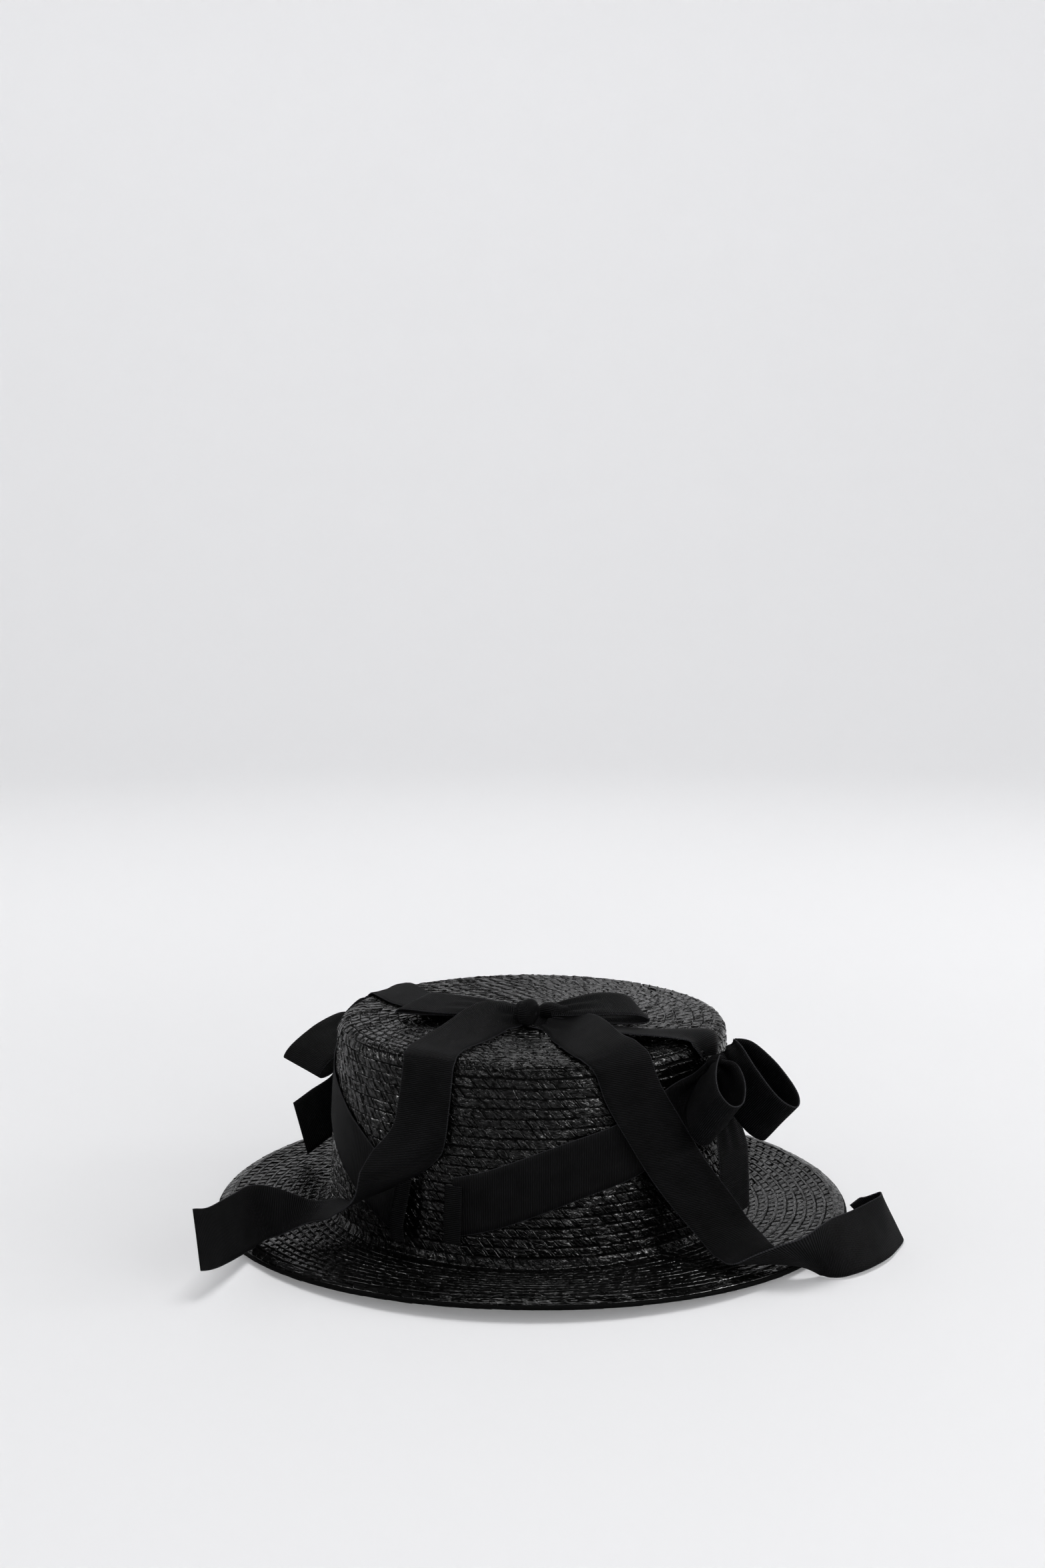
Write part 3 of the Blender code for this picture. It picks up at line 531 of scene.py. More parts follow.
def plaited(braid):
    """Rows of braid sewn round the hat along a stretch of an outline."""
    draw = np.random.default_rng(braid.seed)
    template, owners, places, straw_count = laid_straws(braid.plait)
    repeat = len(braid.plait)
    width = (braid.stop - braid.start) / braid.rows
    per_copy = len(template.vertices)
    flat = np.empty(per_copy * 3)
    template.vertices.foreach_get("co", flat)
    flat = flat.reshape(-1, 3)
    whole = bmesh.new()
    for row in range(braid.rows):
        start = braid.start + width * row
        radius = braid.line.at(np.array([start + width * ROW_MIDDLE]))[0][0]
        count = max(1, round(math.tau * radius / BRAID_CELL / repeat))
        strip = bpy.data.objects.new("strip", template)
        bpy.context.scene.collection.objects.link(strip)
        array = strip.modifiers.new("Cells", "ARRAY")
        array.count = count
        array.use_relative_offset = False
        array.use_constant_offset = True
        array.constant_offset_displace = (repeat, 0.0, 0.0)
        graph = bpy.context.evaluated_depsgraph_get()
        mesh = bpy.data.meshes.new_from_object(strip.evaluated_get(graph))
        bpy.data.objects.remove(strip)

        copies = np.repeat(np.arange(count), per_copy)
        owner = np.tile(owners, count) + copies * straw_count
        across = np.tile(places[:, 0], count)
        along = np.tile(places[:, 1], count)
        straws = straw_count * count
        rise = draw.normal(0.0, RISE_STRAY * braid.stray, straws)[owner]
        roll = draw.normal(0.0, ROLL_STRAY * braid.stray, straws)[owner]
        pitch = draw.normal(0.0, PITCH_STRAY * braid.stray, straws)[owner]
        crumple = draw.normal(0.0, CRUMPLE_STRAY * braid.stray, len(owner))
        shift = draw.normal(0.0, SHIFT_STRAY, straws)[owner]
        slide = draw.normal(0.0, SLIDE_STRAY * braid.stray, straws)[owner]
        x = np.tile(flat[:, 0], count) + copies * repeat + shift
        y = np.tile(flat[:, 1], count) + slide
        sunk = np.tile(flat[:, 2], count)
        loose = sunk > LOOSE
        height = sunk + loose * (rise + roll * (across - 0.5) + pitch * (along - 0.5) + crumple)
        wave = SLOW_WAVE * np.sin(x * SLOW_PACE + draw.uniform(0, math.tau))
        wave += QUICK_WAVE * np.sin(x * QUICK_PACE + row)
        turn = (x / (count * repeat) + draw.uniform()) * math.tau
        walk = start + width * (y + wave)
        spot_radius, spot_height, out, up = braid.line.at(walk)
        stand = np.minimum(height, HIGHEST) / 1000.0
        spot_radius = spot_radius + out * stand
        spot_height = spot_height + up * stand
        azimuth = np.degrees(turn)
        lift = np.array([brim_lift(r, a) for r, a in zip(spot_radius, azimuth)])
        spots = np.stack((spot_radius * np.sin(turn) + HAT_MIDDLE.x,
                          -spot_radius * np.cos(turn) + HAT_MIDDLE.y,
                          spot_height + lift), axis=1)
        mesh.vertices.foreach_set("co", spots.ravel())
        loops = np.empty(len(mesh.loops), dtype=np.int32)
        mesh.loops.foreach_get("vertex_index", loops)
        spans = draw.uniform(0.0, 1.0, (straws, 2))[owner]
        straw_map = np.stack((across * STRAW_WIDTH * braid.stray + spans[:, 0],
                              along * STRAW_LENGTH * braid.stray + spans[:, 1]), axis=1)
        mesh.uv_layers[0].data.foreach_set("uv", straw_map[loops].ravel())
        whole.from_mesh(mesh)
        bpy.data.meshes.remove(mesh)
    mesh = bpy.data.meshes.new(braid.name)
    whole.to_mesh(mesh)
    whole.free()
    mesh.shade_smooth()
    return show(braid.name, mesh, braid.finish)


def inset(points, depth):
    """An outline moved inwards along its own normals."""
    line = Outline(points)
    radius, height, out, up = line.at(line.walked)
    return [(max(r - o * depth, 0.0), h - u * depth) for r, h, o, u in zip(radius, height, out, up)]


crown_line = Outline(crown_outside)
brim_line = Outline(brim_outside)
under_line = Outline(brim_under)
inside_line = Outline(crown_inside)
crown_shell = turned_shell("crown_shell", inset(crown_outside, SHELL_DEPTH - SHELL_WALL / 2)
                           + inset(crown_outside, SHELL_DEPTH + SHELL_WALL / 2)[::-1], covered_straw)
brim_shell = turned_shell("brim_shell", inset(brim_outside + brim_under, BRIM_SHELL_DEPTH), covered_straw)
for piece, node in ((crown_shell, "crown"), (brim_shell, "brim")):
    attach(piece, "root")
    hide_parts(node)

# The tip's braid starts and the inside's ends at a small eye
OUTER_EYE = 0.0008
INNER_EYE = 0.0010
BRIM_ROWS = 11
INNER_BRIM_ROWS = 6

# A deeper seam runs just under the shoulder, where the tip's braid ends
shoulder_end = crown_line.walked[-2]
tip_end = shoulder_end - SHOULDER_RADIUS * math.pi / 2
seam = shoulder_end + SEAM_WIDTH
wall_middle = (seam + crown_line.length) / 2
droop = brim_line.walked[flare_points - 1 + BRIM_RINGS]
cord = brim_line.walked[flare_points + BRIM_RINGS]
brim_flare = droop / BRIM_ROWS
brim_middle = droop * INNER_BRIM_ROWS / BRIM_ROWS
wall_end = crown_line.length
brim_end = brim_line.length
inside_end = inside_line.length - INNER_EYE
Braid = namedtuple("Braid", "name node line start stop rows plait seed stray finish",
                   defaults=(1.0, lacquered_straw))
BRAIDS = (
    Braid("crown_tip_braid", "crown", crown_line, OUTER_EYE, tip_end, 19, PLAIT, 11),
    Braid("crown_shoulder_braid", "crown", crown_line, tip_end, shoulder_end, 2, PLAIT, 12),
    Braid("crown_upper_braid", "crown", crown_line, seam, wall_middle, 9, PLAIT, 13),
    Braid("crown_lower_braid", "crown", crown_line, wall_middle, wall_end, 9, PLAIT, 14),
    Braid("brim_flare_braid", "brim", brim_line, 0.0, brim_flare, 1, PLAIT, 21),
    Braid("brim_inner_braid", "brim", brim_line, brim_flare, brim_middle, 5, BRIM_PLAIT, 15, 0.7),
    Braid("brim_outer_braid", "brim", brim_line, brim_middle, droop, 5, BRIM_PLAIT, 16, 0.5),
    Braid("brim_edge_braid", "brim", brim_line, droop, cord, 1, EDGE_PLAIT, 19, 0.5),
    Braid("brim_cord_braid", "brim", brim_line, cord, brim_end, 1, CORD_PLAIT, 20, 0.3, covered_straw),
    Braid("brim_under_braid", "brim", under_line, 0.0, under_line.length, 12, HIDDEN_PLAIT, 17, 1.0,
          covered_straw),
    Braid("crown_inside_braid", "crown", inside_line, 0.0, inside_end, 35, HIDDEN_PLAIT, 18),
)
for braid in BRAIDS:
    piece = plaited(braid)
    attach(piece, "root")
    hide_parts(braid.node)

# Grosgrain ribbon
# Black ribbed silk ribbon, 24 mm wide, with a close weft rib and a looped edge.
# It is drawn over the crown, wound round the sides and tied into soft bows.
RIBBON_WIDTH = 0.0240
RIBBON_WALL = 0.0010
RIBBON_THICKNESS = 0.0005
KEEPER_WIDTH = 0.0072
KEEPER_CUT = 0.0120
KEEPER_HEM = (1.0 - KEEPER_WIDTH / KEEPER_CUT) / 2.0
GAP = 0.0003
LEAST_SLANT = 0.85
RIB_SPACING = 0.0008
# The weft's loops stand out past EDGE_SHARE of the width on either side, and the
# cloth isn't quite even: it ripples. A hem drops under the ribbon, and a side
# bow's loop spreads to its full width soon after its knot, at GATHER_PACE.
EDGE_LOOP = 0.00034
EDGE_SHARE = 0.49
PLEAT_LIFT = 0.45
RIPPLE = 0.00035
RIPPLES_PER_METRE = 45.0
RIPPLES_ACROSS = 1.4
HEM_DROP = 0.00065
HEM_TURN = 0.0005
LOOP_KEYS = 9
GATHER_PACE = 5.0

# A row of a ribbon's run: where its middle lies and how its width points.
# On the tip, a and b count right and front in tip radii; on the shoulder, an
# azimuth and the degrees turned over the edge; on the wall, an azimuth and a
# share of the crown's height; on the brim and on the floor, an azimuth and
# the reach from the crown's foot, 1 at the brim's edge. layer counts the
# ribbons below, lift is in ribbon widths, across points from the ribbon's
# first edge to its second, and width is a share of the ribbon's full width.
Row = namedtuple("Row", "seat a b layer lift across width", defaults=(1.0,))

AROUND = (1, 0, 0)
OUT = (0, 1, 0)
UP = (0, 0, 1)

STRAP = (
    Row("wall", -95, 0.915, 0, 0.00, AROUND, 0.55),
    Row("edge", -95, 60, 0, 0.00, AROUND, 0.85),
    Row("edge", -95, 10, 0, 0.00, AROUND),
    Row("tip", -0.68, 0.08, 0, 0.00, OUT),
    Row("tip", -0.35, 0.17, 0, 0.00, OUT),
    Row("tip", -0.05, 0.22, 0, 0.00, OUT, 0.80),
    Row("tip", 0.13, 0.225, 0, 0.00, OUT, 0.62),
    Row("tip", 0.30, 0.22, 0, 0.00, OUT, 0.80),
    Row("tip", 0.53, 0.205, 0, 0.06, (0, 1, 0.12)),
    Row("tip", 0.735, 0.16, 0, 0.08, (0, 1, 0.14)),
    Row("edge", 89, 8, 0, 0.04, (-1, 0, 0.05), 0.95),
    Row("edge", 89, 60, 0, 0.02, (-1, 0, 0), 0.80),
    Row("wall", 90, 0.915, 0, 0.00, (-1, 0, 0), 0.50),
)

BAND_RIGHT = (
    Row("wall", 9.8, 0.300, 0, 0.02, (0, -0.02, 1)),
    Row("wall", 18, 0.340, 0, 0.01, UP),
    Row("wall", 26, 0.390, 0, 0.00, UP),
    Row("wall", 41.5, 0.490, 0, 0.00, UP),
    Row("wall", 58, 0.575, 0, 0.00, UP),
    Row("wall", 73, 0.700, 0, 0.00, UP, 0.92),
    Row("wall", 82, 0.770, 0, 0.00, UP, 0.60),
    Row("wall", 91, 0.842, 0, 0.00, UP, 0.35),
)

BAND_LEFT = (
    Row("wall", -3.6, 0.262, 0, 0.08, (0, -0.14, 1), 0.97),
    Row("wall", -10, 0.305, 0, 0.05, (0, -0.08, 1)),
    Row("wall", -17, 0.350, 0, 0.00, UP),
    Row("wall", -29, 0.455, 0, 0.00, UP),
    Row("wall", -42, 0.560, 0, 0.00, UP),
    Row("wall", -57, 0.645, 0, 0.01, UP),
    Row("wall", -71, 0.718, 0, 0.01, UP, 0.95),
    Row("wall", -84, 0.780, 0, 0.01, UP, 0.65),
    Row("wall", -96, 0.842, 0, 0.00, UP, 0.35),
)

# A keeper's lifts are in the width that it is cut to
KEEPER_RIGHT = (
    Row("wall", 10.5, 0.410, 1, 0.06, AROUND),
    Row("wall", 10.5, 0.300, 1, 0.12, AROUND),
    Row("wall", 10.5, 0.170, 1, 0.12, AROUND),
    Row("brim", 10.5, 0.060, 1, 0.02, AROUND),
)

KEEPER_LEFT = (
    Row("wall", -3.9, 0.405, 1, 0.08, AROUND),
    Row("wall", -3.9, 0.300, 1, 0.28, AROUND),
    Row("wall", -3.9, 0.200, 1, 0.48, AROUND),
    Row("brim", -3.9, 0.135, 1, 0.02, AROUND),
)

TOP_LEFT_TAIL = (
    Row("tip", 0.112, 0.300, 1, 0.10, (0.50, 0.60, -0.62), 0.42),
    Row("tip", 0.038, 0.365, 1, 0.14, (0.66, 0.68, -0.32), 0.96),
    Row("tip", 0.010, 0.490, 0, 0.18, (0.76, 0.58, -0.28)),
    Row("tip", -0.002, 0.650, 0, 0.10, (0.88, 0.44, -0.16)),
    Row("tip", -0.018, 0.820, 0, 0.02, (0.98, 0.16, -0.03)),
    Row("edge", 0.5, 12, 0, 0.00, AROUND),
    Row("edge", 1.5, 70, 0, 0.00, AROUND),
    Row("wall", 1.0, 0.78, 0, 0.04, (1, -0.05, 0)),
    Row("wall", 0.2, 0.63, 0, 0.15, (1, -0.20, 0)),
    Row("wall", -3.4, 0.47, 0, 0.52, (0.50, -0.84, -0.05)),
    Row("wall", -9.5, 0.33, 1, 0.60, (-0.32, -0.94, -0.12)),
    Row("wall", -17.0, 0.24, 1, 0.58, (-0.60, -0.79, -0.08)),
    Row("brim", -25.0, 0.235, 0, 0.31, (-0.75, -0.66, 0)),
    Row("brim", -30.5, 0.39, 0, 0.20, (-0.84, -0.52, 0.14)),
    Row("brim", -31.5, 0.74, 0, 0.40, (-0.6, -0.1, 0.70)),
    Row("brim", -27.8, 1.00, 0, 0.48, (-0.43, 0.1, 0.9)),
    Row("floor", -20.0, 1.45, 0, 0.82, (-0.27, 0, 0.96)),
    Row("floor", -17.5, 1.69, 0, 0.98, (-0.2, 0, 0.98)),
)

TOP_RIGHT_TAIL = (
    Row("tip", 0.230, 0.225, 1, 0.03, (-0.05, -0.97, 0.25), 0.62),
    Row("tip", 0.365, 0.275, 1, 0.04, (0.05, -0.97, 0.20), 0.97),
    Row("tip", 0.515, 0.405, 0, 0.17, (0.34, -0.88, 0.30)),
    Row("tip", 0.668, 0.535, 0, 0.15, (0.60, -0.78, 0.25)),
    Row("edge", 53, 16, 0, 0.12, (1, 0.1, 0.2)),
    Row("edge", 55, 60, 0, 0.12, (1, 0.15, 0.1)),
    Row("wall", 58, 0.84, 0, 0.12, (1, 0.18, 0.05)),
    Row("wall", 63, 0.66, 1, 0.16, (1, 0.25, 0)),
    Row("wall", 69, 0.45, 1, 0.30, (1, 0.30, 0)),
    Row("brim", 75, 0.34, 0, 0.48, (1, 0.35, 0.1)),
    Row("brim", 75.4, 0.54, 0, 0.18, (0.92, 0.32, 0.21)),
    Row("brim", 73.2, 0.75, 0, 0.17, (0.90, 0.41, 0.10)),
    Row("brim", 73.5, 0.92, 0, 0.11, (0.93, 0.36, -0.12)),
    Row("brim", 75.7, 1.02, 0, 0.17, (0.89, 0.28, -0.36)),
    Row("floor", 78.8, 1.16, 0, 0.40, (0.70, 0.03, -0.72)),
    Row("floor", 81.1, 1.24, 0, 0.48, (0.31, 0.05, -0.95)),
    Row("floor", 84.0, 1.295, 0, 0.505, (0.01, 0.29, -0.96)),
    Row("floor", 88.2, 1.345, 0, 0.495, (-0.07, 0.38, -0.92)),
    Row("floor", 93.0, 1.395, 0, 0.495, (-0.06, 0.38, -0.92)),
    Row("floor", 97.2, 1.43, 0, 0.495, (0.01, 0.29, -0.96)),
    Row("floor", 101.2, 1.41, 0, 0.47, (0.24, 0.40, -0.88)),
    Row("floor", 102.0, 1.30, 0, 0.42, (0.54, 0.41, -0.74)),
    Row("floor", 100.2, 1.185, 0, 0.38, (0.72, 0.26, -0.64)),
)

# The top bow's loops run out from the knot, round their ends and back
TOP_LEFT_LOOP = (
    Row("tip", 0.046, 0.190, 0, 0.15, (0, 1, -0.05), 0.38),
    Row("tip", -0.115, 0.245, 0, 0.17, (0, 1, -0.05), 0.80),
    Row("tip", -0.322, 0.292, 0, 0.20, (0, 1, -0.10)),
    Row("tip", -0.500, 0.300, 0, 0.19, (0, 1, -0.10)),
    Row("tip", -0.545, 0.295, 0, 0.12, (0, 1, -0.08)),
    Row("tip", -0.495, 0.275, 0, 0.055, (0, 1, -0.06), 0.95),
    Row("tip", -0.322, 0.255, 0, 0.06, (0, 1, -0.06), 0.88),
    Row("tip", -0.115, 0.215, 0, 0.07, (0, 1, -0.06), 0.65),
    Row("tip", 0.046, 0.175, 0, 0.08, (0, 1, -0.05), 0.38),
)

TOP_RIGHT_LOOP = (
    Row("tip", 0.205, 0.165, 0, 0.20, (0.60, 0.80, -0.12), 0.42),
    Row("tip", 0.310, 0.085, 0, 0.27, (0.62, 0.78, -0.14), 0.80),
    Row("tip", 0.420, -0.010, 0, 0.31, (0.66, 0.75, -0.16)),
    Row("tip", 0.530, -0.085, 0, 0.29, (0.70, 0.70, -0.14)),
    Row("tip", 0.580, -0.105, 0, 0.19, (0.71, 0.69, -0.10)),
    Row("tip", 0.545, -0.085, 0, 0.09, (0.71, 0.71, -0.06)),
    Row("tip", 0.430, -0.005, 0, 0.07, (0.66, 0.75, -0.04), 0.92),
    Row("tip", 0.310, 0.085, 0, 0.09, (0.62, 0.78, 0.00), 0.70),
    Row("tip", 0.205, 0.160, 0, 0.12, (0.60, 0.80, 0.00), 0.42),
)

# A side bow's loop leaves its knot, rounds its end and comes back. The knot's
# place counts as a wall row's does; run and across point around, off and up the
# wall, length and roundness are in metres, and gather is the width share at the knot.
Loop = namedtuple("Loop", "azimuth share lift run across length roundness pinch gather")
RIGHT_FRONT_LOOP = Loop(85.6, 0.885, 0.28, (-0.80, 0.44, -0.41), (-0.02, 0.66, 0.75),
                        0.0384, 0.0088, 0.60, 0.40)
RIGHT_BACK_LOOP = Loop(92.6, 0.950, 0.27, (-0.18, 0.66, -0.72), (-0.18, 0.70, 0.69),
                       0.0401, 0.0096, 0.50, 0.55)

RIGHT_TAIL = (
    Row("wall", 89.8, 0.800, 0, 0.28, (0.96, 0.10, 0.10), 0.35),
    Row("wall", 89.2, 0.700, 0, 0.28, (0.99, 0.00, 0.10), 0.60),
    Row("wall", 89.8, 0.580, 0, 0.33, (0.99, 0.05, 0.05), 0.85),
    Row("wall", 91.0, 0.440, 0, 0.38, (1.00, 0.10, 0.00)),
    Row("wall", 91.4, 0.280, 0, 0.37, (1.00, 0.10, 0.00)),
    Row("wall", 92.0, 0.120, 0, 0.37, (1.00, 0.03, 0.00)),
)

LEFT_FRONT_LOOP = Loop(-93.0, 0.835, 0.36, (0.89, 0.16, -0.44), (-0.09, 0.98, 0.17),
                       0.0424, 0.0052, 0.45, 0.40)
LEFT_BACK_LOOP = Loop(-99.3, 0.860, 0.34, (-0.11, 0.60, -0.79), (0.08, 0.69, 0.72),
                      0.0354, 0.0068, 0.45, 0.38)

LEFT_TAIL = (
    Row("wall", -96.0, 0.795, 0, 0.20, (0.96, 0.10, 0.10), 0.50),
    Row("wall", -95.0, 0.700, 0, 0.24, (0.90, 0.25, 0.30), 0.85),
    Row("wall", -92.5, 0.580, 0, 0.36, (0.76, 0.35, 0.50)),
    Row("wall", -89.5, 0.425, 0, 0.46, (0.60, 0.40, 0.70)),
    Row("wall", -85.5, 0.310, 0, 0.86, (0.30, 0.42, 0.85)),
    Row("wall", -82.4, 0.215, 0, 1.23, (0.05, 0.32, 0.95)),
)


def round_axes(azimuth, slope=0.0):
    """Unit vectors around the hat, off its surface and up it, at an azimuth."""
    turn = math.radians(azimuth)
    around = Vector((math.cos(turn), math.sin(turn), 0.0))
    out = Vector((math.sin(turn), -math.cos(turn), -slope)).normalized()
    return around, out, out.cross(around)


def seat_point(seat, a, b, rise):
    """A point that stands off the straw by rise, and the seat's three axes."""
    if seat == "tip":
        point = Vector((a * TIP_RADIUS, -b * TIP_RADIUS, 0.0))
        point.z = tip_height(point.length) + rise
        return point, (Vector((1, 0, 0)), Vector((0, -1, 0)), Vector((0, 0, 1)))
    axes = round_axes(a)
    out = axes[1]
    if seat == "wall":
        axes = round_axes(a, WALL_SLOPE)
    if seat == "edge":
        turn = math.radians(b)
        reach = SHOULDER_RADIUS + rise
        point = out * (FLAT_RADIUS + reach * math.sin(turn))
        point.z = SHOULDER_TOP + reach * math.cos(turn)
    elif seat == "wall":
        height = b * CROWN_HEIGHT
        point = out * (wall_radius(height) + rise)
        point.z = height
    else:
        radius = BASE_RADIUS + b * (BRIM_RADIUS - BASE_RADIUS)
        point = out * radius
        floor = brim_height(radius, a) if seat == "brim" else 0.0
        point.z = floor + rise
    return point, axes


def smooth_between(before, start, end, after, share):
    """A point of a smooth curve through four values, at a share of its middle span."""
    return 0.5 * (2 * start + (end - before) * share
                  + (2 * before - 5 * start + 4 * end - after) * share ** 2
                  + (3 * start - before - 3 * end + after) * share ** 3)


def spline(values, counts):
    """Points of a smooth curve through values, with a count of steps for each span."""
    points = []
    last = len(values) - 1
    for index, steps in enumerate(counts):
        four = (values[max(index - 1, 0)], values[index], values[index + 1], values[min(index + 2, last)])
        points += [smooth_between(*four, step / steps) for step in range(steps)]
    points.append(values[last])
    return points


# Silk grosgrain: matte black, a fine sheen along the ribs and none across
# them. The map's unit is the ribbon's width, and the sizes are those of the
# yarn's twist and of a rubbed spot along and across the ribbon.
YARN_SIZE = (0.00021818, 0.00053333)
WEAR_SIZE = (0.010909, 0.0092308)
RIB_RELIEF = 0.0002
YARN_RELIEF = 0.0002
grosgrain, tree, shader = new_material("black silk grosgrain")
laid = add_node(tree, "ShaderNodeUVMap", {"uv_map": "UVMap"}, {})
axes = add_node(tree, "ShaderNodeSeparateXYZ", {}, {"Vector": laid.outputs["UV"]})
phase = add_node(tree, "ShaderNodeMath", {"operation": "MULTIPLY"},
                 {0: axes.outputs["X"], 1: math.tau * RIBBON_WIDTH / RIB_SPACING})
rib = add_node(tree, "ShaderNodeMath", {"operation": "SINE"}, {0: phase.outputs["Value"]})
noises = {}
for name, size, detail in (("yarn", YARN_SIZE, 2.0), ("wear", WEAR_SIZE, 3.0)):
    stretch = add_node(tree, "ShaderNodeMapping", {},
                       {"Vector": laid.outputs["UV"],
                        "Scale": (RIBBON_WIDTH / size[0], RIBBON_WIDTH / size[1], 1.0)})
    noises[name] = add_node(tree, "ShaderNodeTexNoise", {},
                            {"Vector": stretch.outputs["Vector"], "Scale": 1.0,
                             "Detail": detail}).outputs["Fac"]
# Painted shade and highlight: the colour darkens in the grooves between the ribs and lightens on their
# crests
shade = add_node(tree, "ShaderNodeMapRange", {}, {"Value": rib.outputs["Value"], "From Min": -1.0,
                                                  "From Max": 1.0, "To Min": 0.0, "To Max": 1.6})
# The painted rib shade, times the rubbed spots' wear
painted_rib_shade_and_wear = add_node(tree, "ShaderNodeMath", {"operation": "MULTIPLY"},
                {0: shade.outputs["Result"], 1: noises["wear"]})
# The ribbon's colour, with painted shade in the rib grooves and a painted highlight on the crests
tone = add_node(tree, "ShaderNodeMix", {"data_type": "RGBA"},
                {"Factor": painted_rib_shade_and_wear.outputs["Value"], "A": hex_colour("#040404"), "B": hex_colour("#252527")})
# The floats of weft along both edges catch more light
from_middle = add_node(tree, "ShaderNodeMath", {"operation": "SUBTRACT"}, {0: axes.outputs["Y"], 1: 0.5})
off_middle = add_node(tree, "ShaderNodeMath", {"operation": "ABSOLUTE"}, {0: from_middle.outputs["Value"]})
at_edge = add_node(tree, "ShaderNodeMapRange", {},
                   {"Value": off_middle.outputs["Value"], "From Min": 0.486, "From Max": 0.496,
                    "To Min": 0.0, "To Max": 1.0})
edged = add_node(tree, "ShaderNodeMix", {"data_type": "RGBA"},
                 {"Factor": at_edge.outputs["Result"], "A": tone.outputs["Result"],
                  "B": hex_colour("#3E3E41")})
rib_bump = add_node(tree, "ShaderNodeBump", {}, {"Height": rib.outputs["Value"], "Strength": 1.0,
                                                 "Distance": RIB_RELIEF})
yarn_bump = add_node(tree, "ShaderNodeBump", {}, {"Height": noises["yarn"], "Strength": 0.4,
                                                  "Distance": YARN_RELIEF,
                                                  "Normal": rib_bump.outputs["Normal"]})
join(tree, shader, {"Base Color": edged.outputs["Result"], "Roughness": 0.58, "Specular IOR Level": 0.06,
                    "Sheen Weight": 0.02, "Sheen Roughness": 0.35, "Sheen Tint": hex_colour("#8C8D92"),
                    "Normal": yarn_bump.outputs["Normal"]})


def in_axes(amounts, axes):
    """The unit vector that a row or a loop gives in its seat's three axes."""
    total = Vector((0.0, 0.0, 0.0))
    for amount, axis in zip(amounts, axes):
        total += axis * amount
    return total.normalized()


def row_keys(rows, width):
    """Middles, width directions and width shares at the rows of a table."""
    keys = []
    for row in rows:
        rise = GAP + RIBBON_WALL / 2 + row.layer * (RIBBON_WALL + GAP) + row.lift * width
        point, axes = seat_point(row.seat, row.a, row.b, rise)
        keys.append((point + HAT_MIDDLE, in_axes(row.across, axes), row.width))
    return keys


def loop_keys(loop, width):
    """Middles, width directions and width shares round a side bow's loop."""
    rise = GAP + RIBBON_WALL / 2 + loop.lift * width
    knot_point, axes = seat_point("wall", loop.azimuth, loop.share, rise)
    run = in_axes(loop.run, axes)
    across = in_axes(loop.across, axes)
    bulge = across.cross(run)
    keys = []
    for step in range(LOOP_KEYS):
        turn = math.tau * step / (LOOP_KEYS - 1)
        away = (1.0 - math.cos(turn)) / 2.0
        side = math.sin(turn) * (loop.pinch + (1.0 - loop.pinch) * away)
        point = knot_point + run * loop.length * away + bulge * loop.roundness * side
        share = min(1.0, loop.gather + (1.0 - loop.gather) * away * GATHER_PACE)
        keys.append((point + HAT_MIDDLE, across, share))
    return keys


def stations(keys):
    """Middles, width directions and width shares along a ribbon, one for each rib."""
    centres, acrosses, shares = zip(*keys)
    counts = []
    for first, second in zip(centres, centres[1:]):
        counts.append(max(2, round((second - first).length / RIB_SPACING)))
    return spline(centres, counts), spline(acrosses, counts), spline(shares, counts)


def ribbon(name, rows, width=RIBBON_WIDTH, hem=0.0, columns=12, pleats=2.5,
           seed=0.0):
    """A ribbon laid along a table of rows or round a loop, gathered into pleats where it narrows.

    A hem is the share of its cut width that is turned under at each edge.
    """
    keys = loop_keys(rows, width) if isinstance(rows, Loop) else row_keys(rows, width)
    centres, acrosses, shares = stations(keys)
    last = len(centres) - 1
    walked = [0.0]
    for first, second in zip(centres, centres[1:]):
        walked.append(walked[-1] + (second - first).length)

    mesh = bpy.data.meshes.new(name)
    shape = bmesh.new()
    shape.loops.layers.uv.new("UVMap")
    bmesh.ops.create_grid(shape, x_segments=last, y_segments=columns, size=1.0, calc_uvs=True)
    for vertex in shape.verts:
        index = round((vertex.co.x + 1.0) / 2.0 * last)
        side = vertex.co.y / 2.0
        run = (centres[min(index + 1, last)] - centres[max(index - 1, 0)]).normalized()
        across = acrosses[index].normalized()
        slant = max(across.cross(run).length, LEAST_SLANT)
        share = min(shares[index], 1.0)
        normal = run.cross(across).normalized()
        # The looped edge: every other weft turns back a little further out
        edge_loop = EDGE_LOOP * (1 if index % 2 else -1) if abs(side) > EDGE_SHARE else 0.0
        reach = side * share * width / slant + math.copysign(edge_loop, side)
        under = max(0.0, abs(side) - (0.5 - hem)) if hem else 0.0
        reach -= math.copysign(2.0 * under * width, side)
        fold = share * width * math.sqrt(max(1.0 / share - 1.0, 0.0)) / (math.pi * pleats)
        lift = PLEAT_LIFT * fold * math.sin(math.tau * pleats * side + seed)
        ripple = (walked[index] * RIPPLES_PER_METRE + seed, side * RIPPLES_ACROSS, seed)
        lift += RIPPLE * noise.noise(ripple)
        if hem:
            lift = -HEM_DROP * min(under * width / HEM_TURN, 1.0)
        vertex.co = centres[index] + across * reach + normal * lift
    uv_layer = shape.loops.layers.uv.active
    for face in shape.faces:
        for loop in face.loops:
            place = loop[uv_layer].uv
            place.x = walked[round(place.x * last)] / RIBBON_WIDTH
    shape.to_mesh(mesh)
    shape.free()
    mesh.shade_smooth()
    piece = show(name, mesh, grosgrain)
    wall = piece.modifiers.new("Cloth", "SOLIDIFY")
    wall.thickness = RIBBON_THICKNESS
    wall.offset = 0.0
    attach(piece, "root")
    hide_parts(name.removesuffix("_ribbon"))


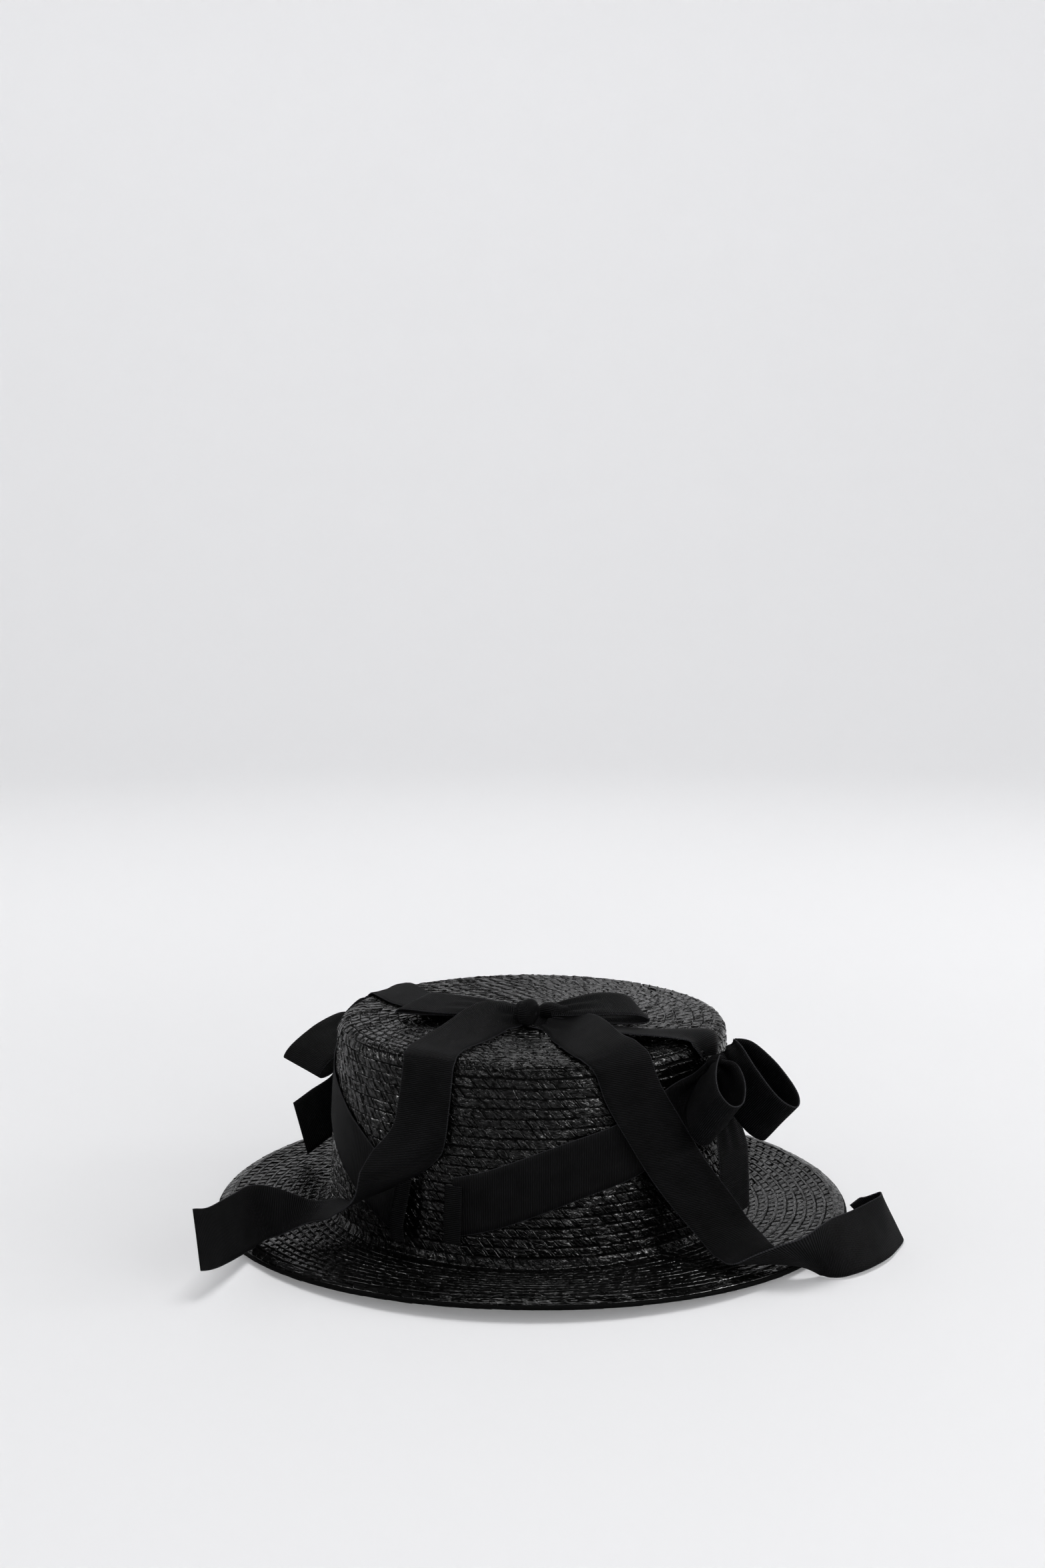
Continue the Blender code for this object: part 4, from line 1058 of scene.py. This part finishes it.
ribbon("crown_strap_ribbon", STRAP, pleats=1.0, seed=0.3)
ribbon("band_right_ribbon", BAND_RIGHT, seed=1.7)
ribbon("band_left_ribbon", BAND_LEFT, seed=2.9)
for side_name, rows in (("right", KEEPER_RIGHT), ("left", KEEPER_LEFT)):
    ribbon(f"keeper_{side_name}_ribbon", rows, KEEPER_CUT, KEEPER_HEM, columns=20)
for name, rows, held, seed in (
        ("top_bow_left_loop", TOP_LEFT_LOOP, "folded", 4.1),
        ("top_bow_right_loop", TOP_RIGHT_LOOP, "folded", 5.3),
        ("top_bow_left_tail", TOP_LEFT_TAIL, "draped", 6.2),
        ("top_bow_right_tail", TOP_RIGHT_TAIL, "draped", 7.7),
        ("right_bow_front_loop", RIGHT_FRONT_LOOP, "folded", 8.4),
        ("right_bow_back_loop", RIGHT_BACK_LOOP, "folded", 9.1),
        ("right_bow_tail", RIGHT_TAIL, "hung", 10.6),
        ("left_bow_front_loop", LEFT_FRONT_LOOP, "folded", 11.3),
        ("left_bow_back_loop", LEFT_BACK_LOOP, "folded", 12.8),
        ("left_bow_tail", LEFT_TAIL, "hung", 13.5)):
    ribbon(f"{name}_ribbon", rows, seed=seed)

# Bow knots
# Each bow is drawn together by one turn of the same ribbon, pulled tight, so
# the knot is a soft egg whose ribs wrap round it, with a pleat or two pressed in.
TOP_KNOT_SIZE = Vector((0.0094, 0.0130, 0.0128))
TOP_TUCK_SIZE = Vector((0.0150, 0.0095, 0.0092))
SIDE_KNOT_SIZE = Vector((0.0112, 0.0080, 0.0106))
KNOT_COLUMNS = 72
KNOT_RANKS = 40
BARREL_ROUNDNESS = 0.45
PLEAT_ROUNDNESS = 0.6
PLEAT_DEPTH = 0.20
KNOT_DENT = 0.06
KNOT_LEAN = 0.16


def knot(name, seat, a, b, size, pleats, seed):
    """A bow's knot: a barrel of gathered ribbon, its pleats and ribs wrapped over the crossing."""
    point, axes = seat_point(seat, a, b, GAP + size.z / 2)
    side = axes[0]
    normal = axes[2] if seat == "tip" else axes[1]
    depth = normal.cross(side)
    mesh = bpy.data.meshes.new(name)
    shape = bmesh.new()
    shape.loops.layers.uv.new("UVMap")
    bmesh.ops.create_grid(shape, x_segments=KNOT_COLUMNS, y_segments=KNOT_RANKS, size=0.5, calc_uvs=True)
    for vertex in shape.verts:
        turn = vertex.co.x * math.tau
        walk = vertex.co.y * 2.0
        # From one open end over the barrel to the other, both ends rolled inwards
        along = math.sin(walk * math.pi / 2) * 0.5
        barrel = math.cos(walk * math.pi / 2) ** BARREL_ROUNDNESS
        pleat = vertex.co.y + KNOT_DENT * math.sin(turn + seed)
        fold = abs(math.sin(math.pi * pleats * pleat + seed)) ** PLEAT_ROUNDNESS
        reach = 0.5 * barrel * (1.0 - PLEAT_DEPTH + PLEAT_DEPTH * fold)
        reach *= 1.0 + KNOT_DENT * math.sin(2.0 * turn + seed) * barrel
        lean = KNOT_LEAN * math.sin(turn + 0.6 * seed) * (1.0 - abs(walk)) ** 2
        vertex.co = (side * (along + 0.3 * lean) * size.x + depth * reach * math.cos(turn) * size.y
                     + normal * reach * math.sin(turn) * size.z + point + HAT_MIDDLE)
    bmesh.ops.remove_doubles(shape, verts=shape.verts, dist=MERGE)
    uv_layer = shape.loops.layers.uv.active
    for face in shape.faces:
        for loop in face.loops:
            place = loop[uv_layer].uv
            place.x *= math.pi * size.z / RIBBON_WIDTH
    bmesh.ops.recalc_face_normals(shape, faces=shape.faces)
    shape.to_mesh(mesh)
    shape.free()
    mesh.shade_smooth()
    piece = show(name, mesh, grosgrain)
    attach(piece, "root")
    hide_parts(name.removesuffix("_wrap").removesuffix("_tuck"))


knot("top_bow_knot_wrap", "tip", 0.145, 0.292, TOP_KNOT_SIZE, 2, 1.0)
knot("top_bow_knot_tuck", "tip", 0.220, 0.150, TOP_TUCK_SIZE, 2, 2.5)
knot("right_bow_knot_wrap", "wall", 90.0, 0.884, SIDE_KNOT_SIZE, 3, 2.0)
knot("left_bow_knot_wrap", "wall", -95.0, 0.858, SIDE_KNOT_SIZE, 3, 3.0)
